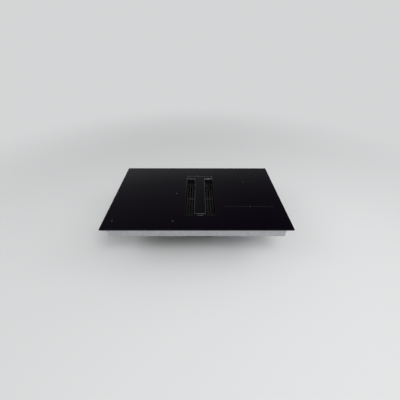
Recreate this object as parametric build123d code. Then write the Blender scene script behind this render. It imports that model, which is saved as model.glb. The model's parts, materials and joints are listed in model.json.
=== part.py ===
"""Induction cooktop with a downdraft extractor in its centre, as an assembly of separate pieces.

Millimetres. +X is the cook's right, +Y the back of the worktop and +Z up. The origin is the centre of
the glass outline, on the plane of the lowest face of the extraction housing. Each function returns one
piece, or one group of like pieces, and the table at the end gives each its file name.
"""
from build123d import *
from math import atan2, cos, radians, sin
import os

# Running gaps
SEAT_GAP = 0.25          # between a loose piece and what it stands on
SIDE_GAP = 2.0           # round a piece that lifts out through the vent
FIT_GAP = 0.5            # round a piece that is set into a recess
CUT_OVER = 1.0           # how far a cut runs past a face
JOIN_LAP = 0.5           # how far one shape sinks into another that it is part of
MOST_ROUND = 0.45        # largest corner radius, as a share of a side

# Glass top
GLASS_W = 830.0
GLASS_D = 515.0
GLASS_T = 4.0
GLASS_CORNER_R = 2.5
GLASS_BEVEL = 0.9
BODY_DEPTH = 206.0       # glass underside above the lowest face
GLASS_TOP = BODY_DEPTH + GLASS_T

# Worktop seal under the glass rim
SEAL_INSET = 1.5
SEAL_W = 8.0
SEAL_T = 2.5

# Vent: the clear opening, right of the centre line as in the photograph
VENT_X = 15.0
VENT_Y = -16.5
VENT_W = 140.0
VENT_L = 297.0
VENT_R = 5.0
VENT_FRONT = VENT_Y - VENT_L / 2
VENT_BACK = VENT_Y + VENT_L / 2
VENT_LEFT = VENT_X - VENT_W / 2
VENT_RIGHT = VENT_X + VENT_W / 2

# Vent frame, set into the glass
FRAME_WALL = 2.5
FRAME_PROUD = 0.6        # frame top above the glass
FRAME_DEPTH = 32.0       # skirt below the glass top
FRAME_FLANGE_W = 10.0
FRAME_FLANGE_T = 2.5
GASKET_T = 1.0
GASKET_W = 8.0
BRIDGE_D = 25.5          # crossbar behind the clear opening
BRIDGE_T = 4.0
BRIDGE_SUNK = 3.4        # its pocket below the frame top
BRIDGE_EDGE_R = 1.2
FRAME_TOP = GLASS_TOP + FRAME_PROUD
FRAME_Z0 = GLASS_TOP - FRAME_DEPTH

# Cover over the vent: a T-shaped metal tray with a glass inlay
COVER_W = 53.0
COVER_T = 3.0
COVER_FRONT_GAP = 5.0    # its front end stops short of the rim
COVER_CORNER_R = 3.0
COVER_LIP = 1.3
COVER_GROOVE = 0.8
COVER_INLAY_T = 2.0
COVER_GLASS_BEVEL = 0.3
COVER_RIB_W = 34.0
COVER_RIB_H = 9.0
COVER_RIB_END_GAP = 6.0
COVER_RIB_WALL = 2.0
COVER_EDGE_R = 0.6
TONGUE_W = 25.0
TONGUE_T = 1.8
TONGUE_REACH = 10.0
PAD_T = 0.6
PAD_L = 18.0
PAD_W = 6.0
PAD_R = 2.0

# Grille under the cover
GRILLE_SUNK = 20.0       # bar tops below the glass top
BAR_COUNT = 11
BAR_PITCH = 12.8
BAR_T = 2.4
BAR_H = 12.0
BAR_SLOPE = 14.0         # length of the sloped back end of a bar
BAR_KNEE_R = 14.0        # where the top of a bar turns into the slope
BAR_END_H = 4.0
CROSSBAR_T = 3.0
CROSSBAR_H = 8.0
GRILLE_LEG = 7.0
GRILLE_EDGE_R = 0.9

# Grease filter: a frame with two layers of channels
LEDGE_Z = 152.0
LEDGE_W = 5.0
LEDGE_T = 3.0
FILTER_H = 13.0
FILTER_RAIL = 9.0
FILTER_WALL = 1.5
FILTER_R = 2.0
BAFFLE_COUNT = 7
BAFFLE_T = 0.8
BAFFLE_LIP = 3.5
BAFFLE_W = 11.0
HANDLE_R = 1.5
HANDLE_W = 46.0
HANDLE_H = 8.0
HANDLE_BEND_R = 4.0

# Spill tray on the floor of the well
WELL_WALL = 2.5
WELL_FLANGE = 8.0
WELL_FLANGE_T = 3.0
SLOPE_TOP = 100.0        # where the front wall starts to slope back
SLOPE_BASE = 40.0
FLOOR_FRONT = -104.0     # front of the deep part
TRAY_CUP_H = 58.0
TRAY_CUP_WALL = 2.0
TRAY_CUP_R = 8.0
GRIP_W = 40.0
GRIP_D = 13.0
GRIP_T = 2.5

# Window from the well to the fan
WINDOW_FRONT = -62.0
WINDOW_BACK = 120.0
WINDOW_Z0 = 102.0
WINDOW_Z1 = 142.0

# Sheet steel tray that holds the coils and boards
TRAY_INSET = 20.0        # tray wall inside the glass edge
TRAY_H = 56.0
TRAY_WALL = 1.2
TRAY_CORNER_R = 6.0
TRAY_FLANGE = 8.0
BOND_T = 0.6             # adhesive bead under the glass
BOND_W = 5.0
BOND_INSET = 1.5         # bead edge inside the flange edge
UPSTAND_H = 20.0
WELL_CLEAR = 1.5         # tray cut-out round the well
TRAY_TOP = BODY_DEPTH - BOND_T
TRAY_Z0 = TRAY_TOP - TRAY_H
TRAY_FLOOR = TRAY_Z0 + TRAY_WALL
TRAY_W = GLASS_W - 2 * TRAY_INSET
TRAY_D = GLASS_D - 2 * TRAY_INSET
SLOT_W = 4.0
SLOT_PITCH = 9.0
SIDE_SLOT_L = 26.0
SIDE_SLOT_COUNT = 12
FLOOR_SLOT_L = 56.0
FLOOR_SLOT_COUNT = 7

# Coils and what carries them
COIL_Y = 104.0
COIL_W = 226.0
COIL_D = 188.0
COIL_R = 62.0
COIL_ROUND = 0.3         # least corner radius of a turn, as a share of its depth
TURN_COUNT = 13
TURN_PITCH = 5.6
TURN_W = 4.6
WINDING_T = 4.0
MAT_T = 3.0
MAT_MARGIN = 8.0
MAT_R = 20.0
FORMER_T = 2.0
FERRITE_T = 5.0
FERRITE_W = 13.0
FERRITE_L = 56.0
FERRITE_COUNT = 8
CARRIER_T = 1.5
CARRIER_MARGIN = 12.0
CARRIER_W = COIL_W + 2 * CARRIER_MARGIN
VENT_SIDE = FRAME_WALL + FRAME_FLANGE_W
LEFT_ROOM = TRAY_W / 2 + VENT_LEFT - VENT_SIDE - CARRIER_W
RIGHT_ROOM = TRAY_W / 2 - VENT_RIGHT - VENT_SIDE - CARRIER_W
LEFT_SHARE = 0.613       # of the spare room, between the vent and the carrier
RIGHT_SHARE = 0.684
LEFT_COIL_X = VENT_LEFT - VENT_SIDE - CARRIER_W / 2 - LEFT_SHARE * LEFT_ROOM
RIGHT_COIL_X = VENT_RIGHT + VENT_SIDE + CARRIER_W / 2 + RIGHT_SHARE * RIGHT_ROOM
CARRIER_R = 4.0
CARRIER_LEG_W = 16.0
CARRIER_LEG_D = 8.0
SPRING_FREE_H = 10.0
SPRING_T = 0.8
SPRING_L = 22.0
SENSOR_R = 9.0
SENSOR_BORE_R = 9.6

# Boards
BOARD_T = 1.6
BOARD_W = 190.0
BOARD_D = 210.0
BOARD_R = 2.0
BOARD_Y = -72.0
STANDOFF_H = 5.0
STANDOFF_R = 3.5
HEATSINK_W = 60.0
HEATSINK_L = 150.0
HEATSINK_H = 24.0
HEATSINK_BASE = 4.0
FIN_COUNT = 9
FIN_T = 1.4
CAPACITOR_R = 9.0
CAPACITOR_H = 22.0
CAPACITOR_COUNT = 4
CHOKE_R = 15.0
CHOKE_BORE_R = 7.0
CHOKE_H = 14.0

# Cooling fans in the tray
FAN_Y = 120.0
LEFT_FAN_SHARE = 0.585   # of the room from the coils' centre line to the wall
RIGHT_FAN_SHARE = 0.6485
FAN_SIZE = 80.0
FAN_H = 25.0
FAN_CORNER_R = 5.0
FAN_DUCT_R = 37.5
FAN_TIP_GAP = 1.5
FAN_HUB_R = 17.0
FAN_BLADES = 7
FAN_BLADE_T = 1.6
FAN_BLADE_CHORD = 18.0
FAN_BLADE_TILT = 50.0
FAN_BLADE_EASE = 1.0     # corners of a tilted blade inside the tip circle
FAN_STRUT_W = 4.0
FAN_STRUT_T = 3.0
FAN_PIN_R = 1.5
RUN_GAP = 0.05

# Touch control board at the front
TOUCH_SIDE = 4.0         # board edge inside the right mat's edge
TOUCH_W = 2 * (RIGHT_COIL_X - COIL_W / 2 - MAT_MARGIN - VENT_X - TOUCH_SIDE)
TOUCH_BACK = VENT_FRONT - WELL_WALL - WELL_FLANGE - WELL_CLEAR - TRAY_WALL
TOUCH_ROOM = TOUCH_BACK + TRAY_D / 2 - TRAY_WALL
TOUCH_SHARE = 0.585      # of the room between the vent and the front wall
TOUCH_D = TOUCH_SHARE * TOUCH_ROOM
TOUCH_Y = TOUCH_BACK - TOUCH_ROOM / 2
TOUCH_GAP = 6.0          # glass to board
TOUCH_HOLDER_WALL = 1.6
LED_COUNT = 12
LED_SIZE = 4.0

# Centrifugal fan housing
FAN_X = -190.0
SCROLL_Y = 62.0
SCROLL_H = 92.0
SCROLL_WALL = 2.5
SCROLL_R0 = 95.0         # at the tongue
SCROLL_R1 = 132.0        # after the sweep
TONGUE_DEG = 72.0
SWEEP_DEG = 252.0
SPIRAL_SPANS = 6
SCROLL_BOSS_DEG = (30.0, 100.0, 190.0, 235.0)
OUTLET_Y = 224.0         # back end of the housing
OUTLET_W = 222.0
OUTLET_H = 89.0
OUTLET_STRAIGHT = 30.0   # last stretch of the outlet at full width
SCROLL_COVER_T = 3.0
INLET_R = 62.0
INLET_LIP_H = 6.0
INLET_LIP_T = 3.0
PLENUM_WALL = 2.0
PLENUM_MARGIN = 14.0     # past the inlet on the far side
PLENUM_TOP_GAP = 1.0     # under the sheet steel tray

# Impeller and motor
IMPELLER_R = 86.0
BLADE_COUNT = 11
BLADE_T = 1.8
BLADE_R0 = 52.0
BLADE_LEAN = 34.0
IMPELLER_Z0 = 13.0
IMPELLER_Z1 = 80.0
DISC_T = 2.0
DISC_OVER = 1.0          # discs past the blade tips
SHROUD_T = 2.0
SHROUD_R = 64.0
CUP_R = 45.0
CUP_WALL = 3.0
CUP_TOP = 50.0
SHAFT_R = 4.0
BUSH_R = 9.0
STATOR_R = 38.0
STATOR_H = 22.0
STATOR_Z0 = 17.0
MOTOR_FLANGE_R = 34.0
MOTOR_FLANGE_T = 4.0
POLE_COUNT = 12
POLE_W = 7.0

# Outlet spigot and its flap
SPIGOT_WALL = 2.5
SPIGOT_L = 26.0
SPIGOT_FLANGE_T = 3.0
FLAP_T = 1.6
FLAP_GAP = 1.2
FLAP_SETBACK = 12.0      # hinge line inside the spigot mouth
FLAP_PIN_R = 1.5
FLAP_PIN_DROP = 5.0
FLAP_STOP = 3.0

# Clamps under the tray
CLAMP_INSET_X = 16.0
CLAMP_INSET_Y = 42.0
CLAMP_SCREW_R = 2.5
CLAMP_SCREW_L = 34.0
CLAMP_DROP = 12.0        # tray underside to the arm
CLAMP_ARM_L = 58.0
CLAMP_ARM_W = 16.0
CLAMP_ARM_T = 2.5
CLAMP_TIP = 6.0
NUT_R = 4.6
NUT_H = 4.0

# Extractor control box under the tray
CONTROL_X0 = -300.0
CONTROL_X1 = -110.0
CONTROL_Y0 = -188.0
CONTROL_Y1 = -104.0
CONTROL_H = 38.0
CONTROL_WALL = 2.0
CONTROL_LID_T = 2.0
CONTROL_BOARD_GAP = 6.0

# Cable from the control box to the extractor motor
CABLE_R = 2.6
CABLE_X = FAN_X
CABLE_FLOOR_GAP = 0.6
CABLE_BEND_R = 18.0
CABLE_OUT = 22.0         # from the control box to the drop
CABLE_HOLE_L = 66.0      # length of the cutter through the scroll wall

# Mains terminal box
TERMINAL_X0 = 112.0
TERMINAL_X1 = 208.0
TERMINAL_Y0 = 140.0
TERMINAL_Y1 = 222.0
TERMINAL_H = 36.0
TERMINAL_WALL = 2.0
TERMINAL_LID_T = 2.0
POLE_BLOCKS = 5
POLE_BLOCK_D = 26.0
POLE_BLOCK_H = 12.0
POLE_BLOCK_BACK = 14.0   # behind the front wall of the box
POLE_STUD_R = 5.0
POLE_STUD_H = 4.0
GLAND_R = 10.0
GLAND_BORE_R = 5.5
GLAND_L = 14.0
GLAND_STEP = 2.0         # collar over the neck

# Screws
SCREW_R = 1.9
SCREW_HEAD_R = 3.6
SCREW_HEAD_H = 2.2
SCREW_BITE = 8.0         # thread below the piece it holds
FRAME_SCREW_DEPTH = 2.0  # of the well's screws into the frame
WELL_SCREW_PITCH = VENT_L / 3
BOSS_R = 4.5
BOSS_H = 14.0


def block(x, y, z):
    """A box from its low and high limits along each axis."""
    size = (x[1] - x[0], y[1] - y[0], z[1] - z[0])
    return Pos((x[0] + x[1]) / 2, (y[0] + y[1]) / 2, (z[0] + z[1]) / 2) * Box(*size)


def past(z):
    """The height range of a cut that runs clear of both faces."""
    return (z[0] - CUT_OVER, z[1] + CUT_OVER)


def pillar(width, depth, radius, z, at=(0.0, 0.0)):
    """An upright prism with a rounded rectangular section."""
    corner = min(radius, MOST_ROUND * width, MOST_ROUND * depth)
    outline = RectangleRounded(width, depth, corner)
    return Pos(at[0], at[1], z[0]) * extrude(outline, z[1] - z[0])


def rod(radius, z, at=(0.0, 0.0)):
    """An upright round bar."""
    return Pos(at[0], at[1], (z[0] + z[1]) / 2) * Cylinder(radius, z[1] - z[0])


def group(pieces):
    """Several separate solids that share one node."""
    return Compound(children=[solid for piece in pieces for solid in piece.solids()])


# Glass and its seal -----------------------------------------------------------------------------

def vent_cut(margin, z):
    """The rounded block that clears the vent frame by a margin on each side."""
    width = VENT_W + 2 * (FRAME_WALL + margin)
    depth = VENT_L + BRIDGE_D + 2 * (FRAME_WALL + margin)
    middle = VENT_Y + BRIDGE_D / 2
    return pillar(width, depth, VENT_R + FRAME_WALL, z, (VENT_X, middle))


def glass_top():
    plate = pillar(GLASS_W, GLASS_D, GLASS_CORNER_R, (BODY_DEPTH, GLASS_TOP))
    rim = plate.faces().sort_by(Axis.Z)[-1].edges()
    plate = chamfer(rim, GLASS_BEVEL)
    return plate - vent_cut(FIT_GAP, past((BODY_DEPTH, GLASS_TOP)))


def glass_seal():
    width = GLASS_W - 2 * SEAL_INSET
    depth = GLASS_D - 2 * SEAL_INSET
    z = (BODY_DEPTH - SEAL_T, BODY_DEPTH)
    outer = pillar(width, depth, GLASS_CORNER_R, z)
    return outer - pillar(width - 2 * SEAL_W, depth - 2 * SEAL_W, GLASS_CORNER_R, past(z))


# Vent frame, cover, grille, filter and spill tray --------------------------------------------------

def well_section(margin, z):
    """A rounded block over the clear opening, grown by a margin."""
    radius = VENT_R + max(margin, 0)
    return pillar(VENT_W + 2 * margin, VENT_L + 2 * margin, radius, z, (VENT_X, VENT_Y))


FLANGE_TOP = BODY_DEPTH - GASKET_T
BRIDGE_Z0 = FRAME_TOP - BRIDGE_SUNK
BRIDGE_TOP = BRIDGE_Z0 + BRIDGE_T


def vent_frame():
    top = vent_cut(0, (FLANGE_TOP - FRAME_FLANGE_T, FRAME_TOP))
    flange = vent_cut(FRAME_FLANGE_W, (FLANGE_TOP - FRAME_FLANGE_T, FLANGE_TOP))
    skirt = well_section(FRAME_WALL, (FRAME_Z0, FRAME_TOP))
    foot = well_section(FRAME_WALL + WELL_FLANGE, (FRAME_Z0, FRAME_Z0 + WELL_FLANGE_T))
    frame = top + flange + skirt + foot
    frame -= well_section(0, past((FRAME_Z0, FRAME_TOP)))
    pocket_y = (VENT_BACK - CUT_OVER, VENT_BACK + BRIDGE_D)
    return frame - block((VENT_LEFT, VENT_RIGHT), pocket_y, (BRIDGE_Z0, FRAME_TOP + CUT_OVER))


def frame_gasket():
    z = (FLANGE_TOP, BODY_DEPTH)
    return vent_cut(FIT_GAP + GASKET_W, z) - vent_cut(FIT_GAP, past(z))


def bridge_plate():
    plate = block(
        (VENT_LEFT + FIT_GAP, VENT_RIGHT - FIT_GAP),
        (VENT_BACK, VENT_BACK + BRIDGE_D - FIT_GAP),
        (BRIDGE_Z0, BRIDGE_TOP),
    )
    rim = plate.faces().sort_by(Axis.Z)[-1].edges()
    return fillet(rim, BRIDGE_EDGE_R)


COVER_FRONT = VENT_FRONT + COVER_FRONT_GAP
COVER_BACK = VENT_BACK + BRIDGE_D
COVER_Y = (COVER_FRONT + COVER_BACK) / 2
COVER_L = COVER_BACK - COVER_FRONT
COVER_Z0 = BRIDGE_TOP + PAD_T + SEAT_GAP
COVER_TOP = COVER_Z0 + COVER_T
INLAY_Z0 = COVER_TOP - COVER_INLAY_T


def cover_plan(margin, z):
    """The T of the cover, shrunk by a margin: a stem over the opening and a bar over the bridge."""
    radius = max(COVER_CORNER_R - margin, FIT_GAP)
    stem = pillar(COVER_W - 2 * margin, COVER_L - 2 * margin, radius, z, (VENT_X, COVER_Y))
    width = VENT_W - 2 * (FIT_GAP + margin)
    bar = pillar(width, BRIDGE_D - 2 * margin, radius, z, (VENT_X, VENT_BACK + BRIDGE_D / 2))
    return stem + bar


def cover_frame():
    plate = cover_plan(0, (COVER_Z0, COVER_TOP))
    rim = plate.faces().sort_by(Axis.Z)[-1].edges()
    plate = fillet(rim, COVER_EDGE_R)
    plate -= cover_plan(COVER_LIP, (INLAY_Z0, COVER_TOP + CUT_OVER))
    rib_y = (COVER_FRONT + COVER_RIB_END_GAP, VENT_BACK - COVER_RIB_END_GAP)
    rib_x = (VENT_X - COVER_RIB_W / 2, VENT_X + COVER_RIB_W / 2)
    rib = block(rib_x, rib_y, (COVER_Z0 - COVER_RIB_H, COVER_Z0))
    hollow = block(
        (rib_x[0] + COVER_RIB_WALL, rib_x[1] - COVER_RIB_WALL),
        (rib_y[0] + COVER_RIB_WALL, rib_y[1] - COVER_RIB_WALL),
        (COVER_Z0 - COVER_RIB_H - CUT_OVER, COVER_Z0),
    )
    tongue_z = FRAME_TOP + SEAT_GAP
    tongue = block(
        (VENT_X - TONGUE_W / 2, VENT_X + TONGUE_W / 2),
        (COVER_FRONT - TONGUE_REACH, COVER_FRONT + COVER_RIB_END_GAP),
        (tongue_z, tongue_z + TONGUE_T),
    )
    return plate + (rib - hollow) + tongue


def cover_glass():
    plate = cover_plan(COVER_LIP + COVER_GROOVE, (INLAY_Z0, COVER_TOP))
    rim = plate.faces().sort_by(Axis.Z)[-1].edges()
    return chamfer(rim, COVER_GLASS_BEVEL)


def cover_pads():
    """Silicone pads under the ends of the cover's bar."""
    y = VENT_BACK + BRIDGE_D / 2
    side = VENT_W / 2 - 2 * PAD_W
    spots = [(VENT_X - side, y), (VENT_X + side, y)]
    z = (COVER_Z0 - PAD_T, COVER_Z0)
    return group([pillar(PAD_W, PAD_L, PAD_R, z, at) for at in spots])


GRILLE_TOP = GLASS_TOP - GRILLE_SUNK
GRILLE_Z0 = GRILLE_TOP - BAR_H
FILTER_Z0 = LEDGE_Z + SEAT_GAP
FILTER_TOP = FILTER_Z0 + FILTER_H
INSERT_W = VENT_W - 2 * SIDE_GAP
INSERT_L = VENT_L - 2 * SIDE_GAP
INSERT_FRONT = VENT_Y - INSERT_L / 2
INSERT_BACK = VENT_Y + INSERT_L / 2


def grille():
    """Upright bars along the slots, sloped at the back, on three crossbars and four legs."""
    profile = Polyline(
        (INSERT_FRONT, GRILLE_Z0),
        (INSERT_FRONT, GRILLE_TOP),
        (INSERT_BACK - BAR_SLOPE, GRILLE_TOP),
        (INSERT_BACK, GRILLE_Z0 + BAR_END_H),
        (INSERT_BACK, GRILLE_Z0),
        close=True,
    )
    face = make_face(profile)
    knee = face.vertices().group_by(Axis.Y)[-1].sort_by(Axis.X)[-1]
    bar = extrude(Plane.YZ * fillet(knee, BAR_KNEE_R), BAR_T / 2, both=True)
    bar = fillet(bar.edges().filter_by(lambda e: e.center().Z > GRILLE_TOP - CUT_OVER), GRILLE_EDGE_R)
    half = (BAR_COUNT - 1) / 2
    reach = half * BAR_PITCH + BAR_T / 2
    body = None
    for index in range(BAR_COUNT):
        placed = Pos(VENT_X + (index - half) * BAR_PITCH, 0, 0) * bar
        body = placed if body is None else body + placed
    for y in (INSERT_FRONT, VENT_Y - CROSSBAR_T / 2, INSERT_BACK - CROSSBAR_T):
        height = BAR_END_H if y > VENT_Y else CROSSBAR_H
        body += block(
            (VENT_X - reach, VENT_X + reach),
            (y, y + CROSSBAR_T),
            (GRILLE_Z0, GRILLE_Z0 + height),
        )
    leg_z = (FILTER_TOP + SEAT_GAP, GRILLE_Z0 + BAR_END_H)
    for x in (VENT_X - reach, VENT_X + reach - GRILLE_LEG):
        for y in (INSERT_FRONT, INSERT_BACK - GRILLE_LEG):
            body += block((x, x + GRILLE_LEG), (y, y + GRILLE_LEG), leg_z)
    return body


def filter_frame():
    at = (VENT_X, VENT_Y)
    body = pillar(INSERT_W, INSERT_L, VENT_R, (FILTER_Z0, FILTER_TOP), at)
    clear = (INSERT_W - 2 * FILTER_RAIL, INSERT_L - 2 * FILTER_RAIL)
    body -= pillar(clear[0], clear[1], FILTER_R, past((FILTER_Z0, FILTER_TOP)), at)
    room = (INSERT_W - 2 * FILTER_WALL, INSERT_L - 2 * FILTER_WALL)
    inside = (FILTER_Z0 + FILTER_WALL, FILTER_TOP - FILTER_WALL)
    body -= pillar(room[0], room[1], 2 * FIT_GAP, inside, at)
    return body


def filter_baffles():
    """Two layers of channels, the upper ones open downwards over the gaps of the lower ones."""
    length = INSERT_L - 2 * (FILTER_WALL + FIT_GAP)
    pitch = (INSERT_W - 2 * (FILTER_WALL + FIT_GAP) - BAFFLE_W) / (BAFFLE_COUNT - 1)
    y = (VENT_Y - length / 2, VENT_Y + length / 2)
    low = FILTER_Z0 + FILTER_WALL
    high = FILTER_TOP - FILTER_WALL
    pieces = []
    for index in range(BAFFLE_COUNT):
        x = VENT_X + (index - (BAFFLE_COUNT - 1) / 2) * pitch
        pieces.append(channel(x, y, high - BAFFLE_T, high, high - BAFFLE_LIP))
    for index in range(BAFFLE_COUNT - 1):
        x = VENT_X + (index - (BAFFLE_COUNT - 2) / 2) * pitch
        pieces.append(channel(x, y, low, low + BAFFLE_T, low + BAFFLE_LIP))
    return group(pieces)


def channel(x, y, z_low, z_high, lip_z):
    """One U-shaped channel along Y. Its two lips run from the web to lip_z."""
    web = block((x - BAFFLE_W / 2, x + BAFFLE_W / 2), y, (z_low, z_high))
    lip = (min(z_low, lip_z), max(z_high, lip_z))
    left = block((x - BAFFLE_W / 2, x - BAFFLE_W / 2 + BAFFLE_T), y, lip)
    right = block((x + BAFFLE_W / 2 - BAFFLE_T, x + BAFFLE_W / 2), y, lip)
    return web + left + right


def filter_handle():
    """A wire loop standing on the front rail of the filter frame."""
    y = INSERT_FRONT + FILTER_RAIL / 2
    half = HANDLE_W / 2
    path = FilletPolyline(
        (VENT_X - half, y, FILTER_TOP),
        (VENT_X - half, y, FILTER_TOP + HANDLE_H),
        (VENT_X + half, y, FILTER_TOP + HANDLE_H),
        (VENT_X + half, y, FILTER_TOP),
        radius=HANDLE_BEND_R,
    )
    section = Plane(origin=path @ 0, z_dir=path % 0) * Circle(HANDLE_R)
    return sweep(section, path=path)


CUP_Z0 = WELL_WALL + SEAT_GAP
CUP_INSET = LEDGE_W + SIDE_GAP
CUP_W = VENT_W - 2 * CUP_INSET
CUP_FRONT = FLOOR_FRONT + CUP_INSET
CUP_BACK = VENT_BACK - CUP_INSET
CUP_L = CUP_BACK - CUP_FRONT


def spill_tray():
    at = (VENT_X, (CUP_FRONT + CUP_BACK) / 2)
    body = pillar(CUP_W, CUP_L, TRAY_CUP_R, (CUP_Z0, CUP_Z0 + TRAY_CUP_H), at)
    room = (CUP_W - 2 * TRAY_CUP_WALL, CUP_L - 2 * TRAY_CUP_WALL)
    inside = (CUP_Z0 + TRAY_CUP_WALL, CUP_Z0 + TRAY_CUP_H + CUT_OVER)
    body -= pillar(room[0], room[1], TRAY_CUP_R - TRAY_CUP_WALL, inside, at)
    z = (CUP_Z0 + TRAY_CUP_H - GRIP_T, CUP_Z0 + TRAY_CUP_H)
    x = (VENT_X - GRIP_W / 2, VENT_X + GRIP_W / 2)
    body += block(x, (CUP_FRONT + JOIN_LAP, CUP_FRONT + GRIP_D), z)
    return body + block(x, (CUP_BACK - GRIP_D, CUP_BACK - JOIN_LAP), z)


WELL_TOP = FRAME_Z0


def well_profile(wall, top):
    """The well seen from the side, as a bar across it. Its front slopes back to the deep part."""
    side = Polyline(
        (VENT_FRONT - wall, top),
        (VENT_FRONT - wall, SLOPE_TOP - wall),
        (FLOOR_FRONT - wall, SLOPE_BASE - wall),
        (FLOOR_FRONT - wall, WELL_WALL - wall),
        (VENT_BACK + wall, WELL_WALL - wall),
        (VENT_BACK + wall, top),
        close=True,
    )
    bar = extrude(Plane.YZ * make_face(side), VENT_W, both=True)
    return Pos(VENT_X, 0, 0) * bar


def inlet_well():
    """The box under the vent, with the filter's ledge and the window to the fan."""
    body = well_section(WELL_WALL, (0, WELL_TOP)) & well_profile(WELL_WALL, WELL_TOP)
    body += well_section(WELL_WALL + WELL_FLANGE, (WELL_TOP - WELL_FLANGE_T, WELL_TOP))
    body -= well_section(0, (WELL_WALL, WELL_TOP + CUT_OVER)) & well_profile(0, WELL_TOP + CUT_OVER)
    ledge = well_section(JOIN_LAP, (LEDGE_Z - LEDGE_T, LEDGE_Z))
    ledge -= well_section(-LEDGE_W, past((LEDGE_Z - LEDGE_T, LEDGE_Z)))
    body += ledge
    x = past((VENT_LEFT - WELL_WALL, VENT_LEFT))
    return body - block(x, (WINDOW_FRONT, WINDOW_BACK), (WINDOW_Z0, WINDOW_Z1))


# Sheet steel tray ----------------------------------------------------------------------------------

SIDES = {"left": (-1, LEFT_COIL_X), "right": (1, RIGHT_COIL_X)}
FAN_SHARES = {"left": LEFT_FAN_SHARE, "right": RIGHT_FAN_SHARE}


def fan_x(side):
    """The middle of a cooling fan, between the coils' centre line and the side wall."""
    sign, x = SIDES[side]
    room = TRAY_W / 2 - TRAY_WALL - sign * x
    return x + sign * FAN_SHARES[side] * room


def floor_slots(x):
    """Air slots in the tray floor under a cooling fan."""
    cuts = []
    for index in range(FLOOR_SLOT_COUNT):
        offset = (index - (FLOOR_SLOT_COUNT - 1) / 2) * SLOT_PITCH
        length = 2 * (max((FLOOR_SLOT_L / 2) ** 2 - offset**2, SLOT_W**2)) ** 0.5
        at = (x, FAN_Y + offset)
        cuts.append(pillar(length, SLOT_W, MOST_ROUND * SLOT_W, past((TRAY_Z0, TRAY_FLOOR)), at))
    return cuts


def side_slots(sign):
    """Air slots low in the side wall of the tray."""
    cuts = []
    for index in range(SIDE_SLOT_COUNT):
        y = (index - (SIDE_SLOT_COUNT - 1) / 2) * SLOT_PITCH * 2
        wall = sign * (TRAY_W / 2 - TRAY_WALL / 2)
        x = (wall - TRAY_WALL, wall + TRAY_WALL)
        z = (TRAY_FLOOR + STANDOFF_H, TRAY_FLOOR + STANDOFF_H + SIDE_SLOT_L)
        cuts.append(block(x, (y - SLOT_W / 2, y + SLOT_W / 2), z))
    return cuts


def board_corners(x):
    """Where the standoffs of a board stand."""
    reach = (BOARD_W / 2 - 2 * STANDOFF_R, BOARD_D / 2 - 2 * STANDOFF_R)
    return [(x + i * reach[0], BOARD_Y + j * reach[1]) for i in (-1, 1) for j in (-1, 1)]


def base_tray():
    body = pillar(TRAY_W, TRAY_D, TRAY_CORNER_R, (TRAY_Z0, TRAY_TOP))
    lip = 2 * TRAY_FLANGE
    body += pillar(TRAY_W + lip, TRAY_D + lip, TRAY_CORNER_R, (TRAY_TOP - TRAY_WALL, TRAY_TOP))
    room = (TRAY_W - 2 * TRAY_WALL, TRAY_D - 2 * TRAY_WALL)
    body -= pillar(room[0], room[1], TRAY_CORNER_R - TRAY_WALL, (TRAY_FLOOR, TRAY_TOP + CUT_OVER))
    opening = WELL_WALL + WELL_FLANGE + WELL_CLEAR
    body += well_section(opening + TRAY_WALL, (TRAY_Z0, TRAY_Z0 + UPSTAND_H))
    body -= well_section(opening, past((TRAY_Z0, TRAY_Z0 + UPSTAND_H)))
    for side, (sign, x) in SIDES.items():
        for cut in floor_slots(fan_x(side)) + side_slots(sign):
            body -= cut
        for at in board_corners(x):
            body += rod(STANDOFF_R, (TRAY_FLOOR - JOIN_LAP, TRAY_FLOOR + STANDOFF_H), at)
    return body


def bond_bead():
    grow = 2 * (TRAY_FLANGE - BOND_INSET)
    size = (TRAY_W + grow, TRAY_D + grow)
    z = (TRAY_TOP, BODY_DEPTH)
    inner = pillar(size[0] - 2 * BOND_W, size[1] - 2 * BOND_W, TRAY_CORNER_R, past(z))
    return pillar(size[0], size[1], TRAY_CORNER_R, z) - inner


# Coils ---------------------------------------------------------------------------------------------

MAT_Z0 = BODY_DEPTH - MAT_T
WINDING_Z0 = MAT_Z0 - WINDING_T
FORMER_Z0 = WINDING_Z0 - FORMER_T
FERRITE_Z0 = FORMER_Z0 - FERRITE_T
CARRIER_Z0 = FERRITE_Z0 - CARRIER_T
SPRING_Z0 = TRAY_FLOOR
ZONES = {
    "front_left": (LEFT_COIL_X, -COIL_Y),
    "rear_left": (LEFT_COIL_X, COIL_Y),
    "front_right": (RIGHT_COIL_X, -COIL_Y),
    "rear_right": (RIGHT_COIL_X, COIL_Y),
}


def insulation_mats():
    pieces = []
    width = COIL_W + 2 * MAT_MARGIN
    depth = 2 * COIL_Y + COIL_D + 2 * MAT_MARGIN
    for _, x in SIDES.values():
        mat = pillar(width, depth, MAT_R, (MAT_Z0, BODY_DEPTH), (x, 0))
        for y in (-COIL_Y, COIL_Y):
            mat -= rod(SENSOR_BORE_R, past((MAT_Z0, BODY_DEPTH)), (x, y))
        pieces.append(mat)
    return group(pieces)


def winding(zone):
    """Nested turns of stranded wire, each an oblong ring."""
    pieces = []
    for turn in range(TURN_COUNT):
        width = COIL_W - 2 * turn * TURN_PITCH
        depth = COIL_D - 2 * turn * TURN_PITCH
        radius = max(COIL_R - turn * TURN_PITCH, COIL_ROUND * depth)
        hole = (width - 2 * TURN_W, depth - 2 * TURN_W)
        hole_r = max(radius - TURN_W, COIL_ROUND * hole[1])
        z = (WINDING_Z0, MAT_Z0)
        outer = pillar(width, depth, radius, z, ZONES[zone])
        pieces.append(outer - pillar(hole[0], hole[1], hole_r, past(z), ZONES[zone]))
    return group(pieces)


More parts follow.
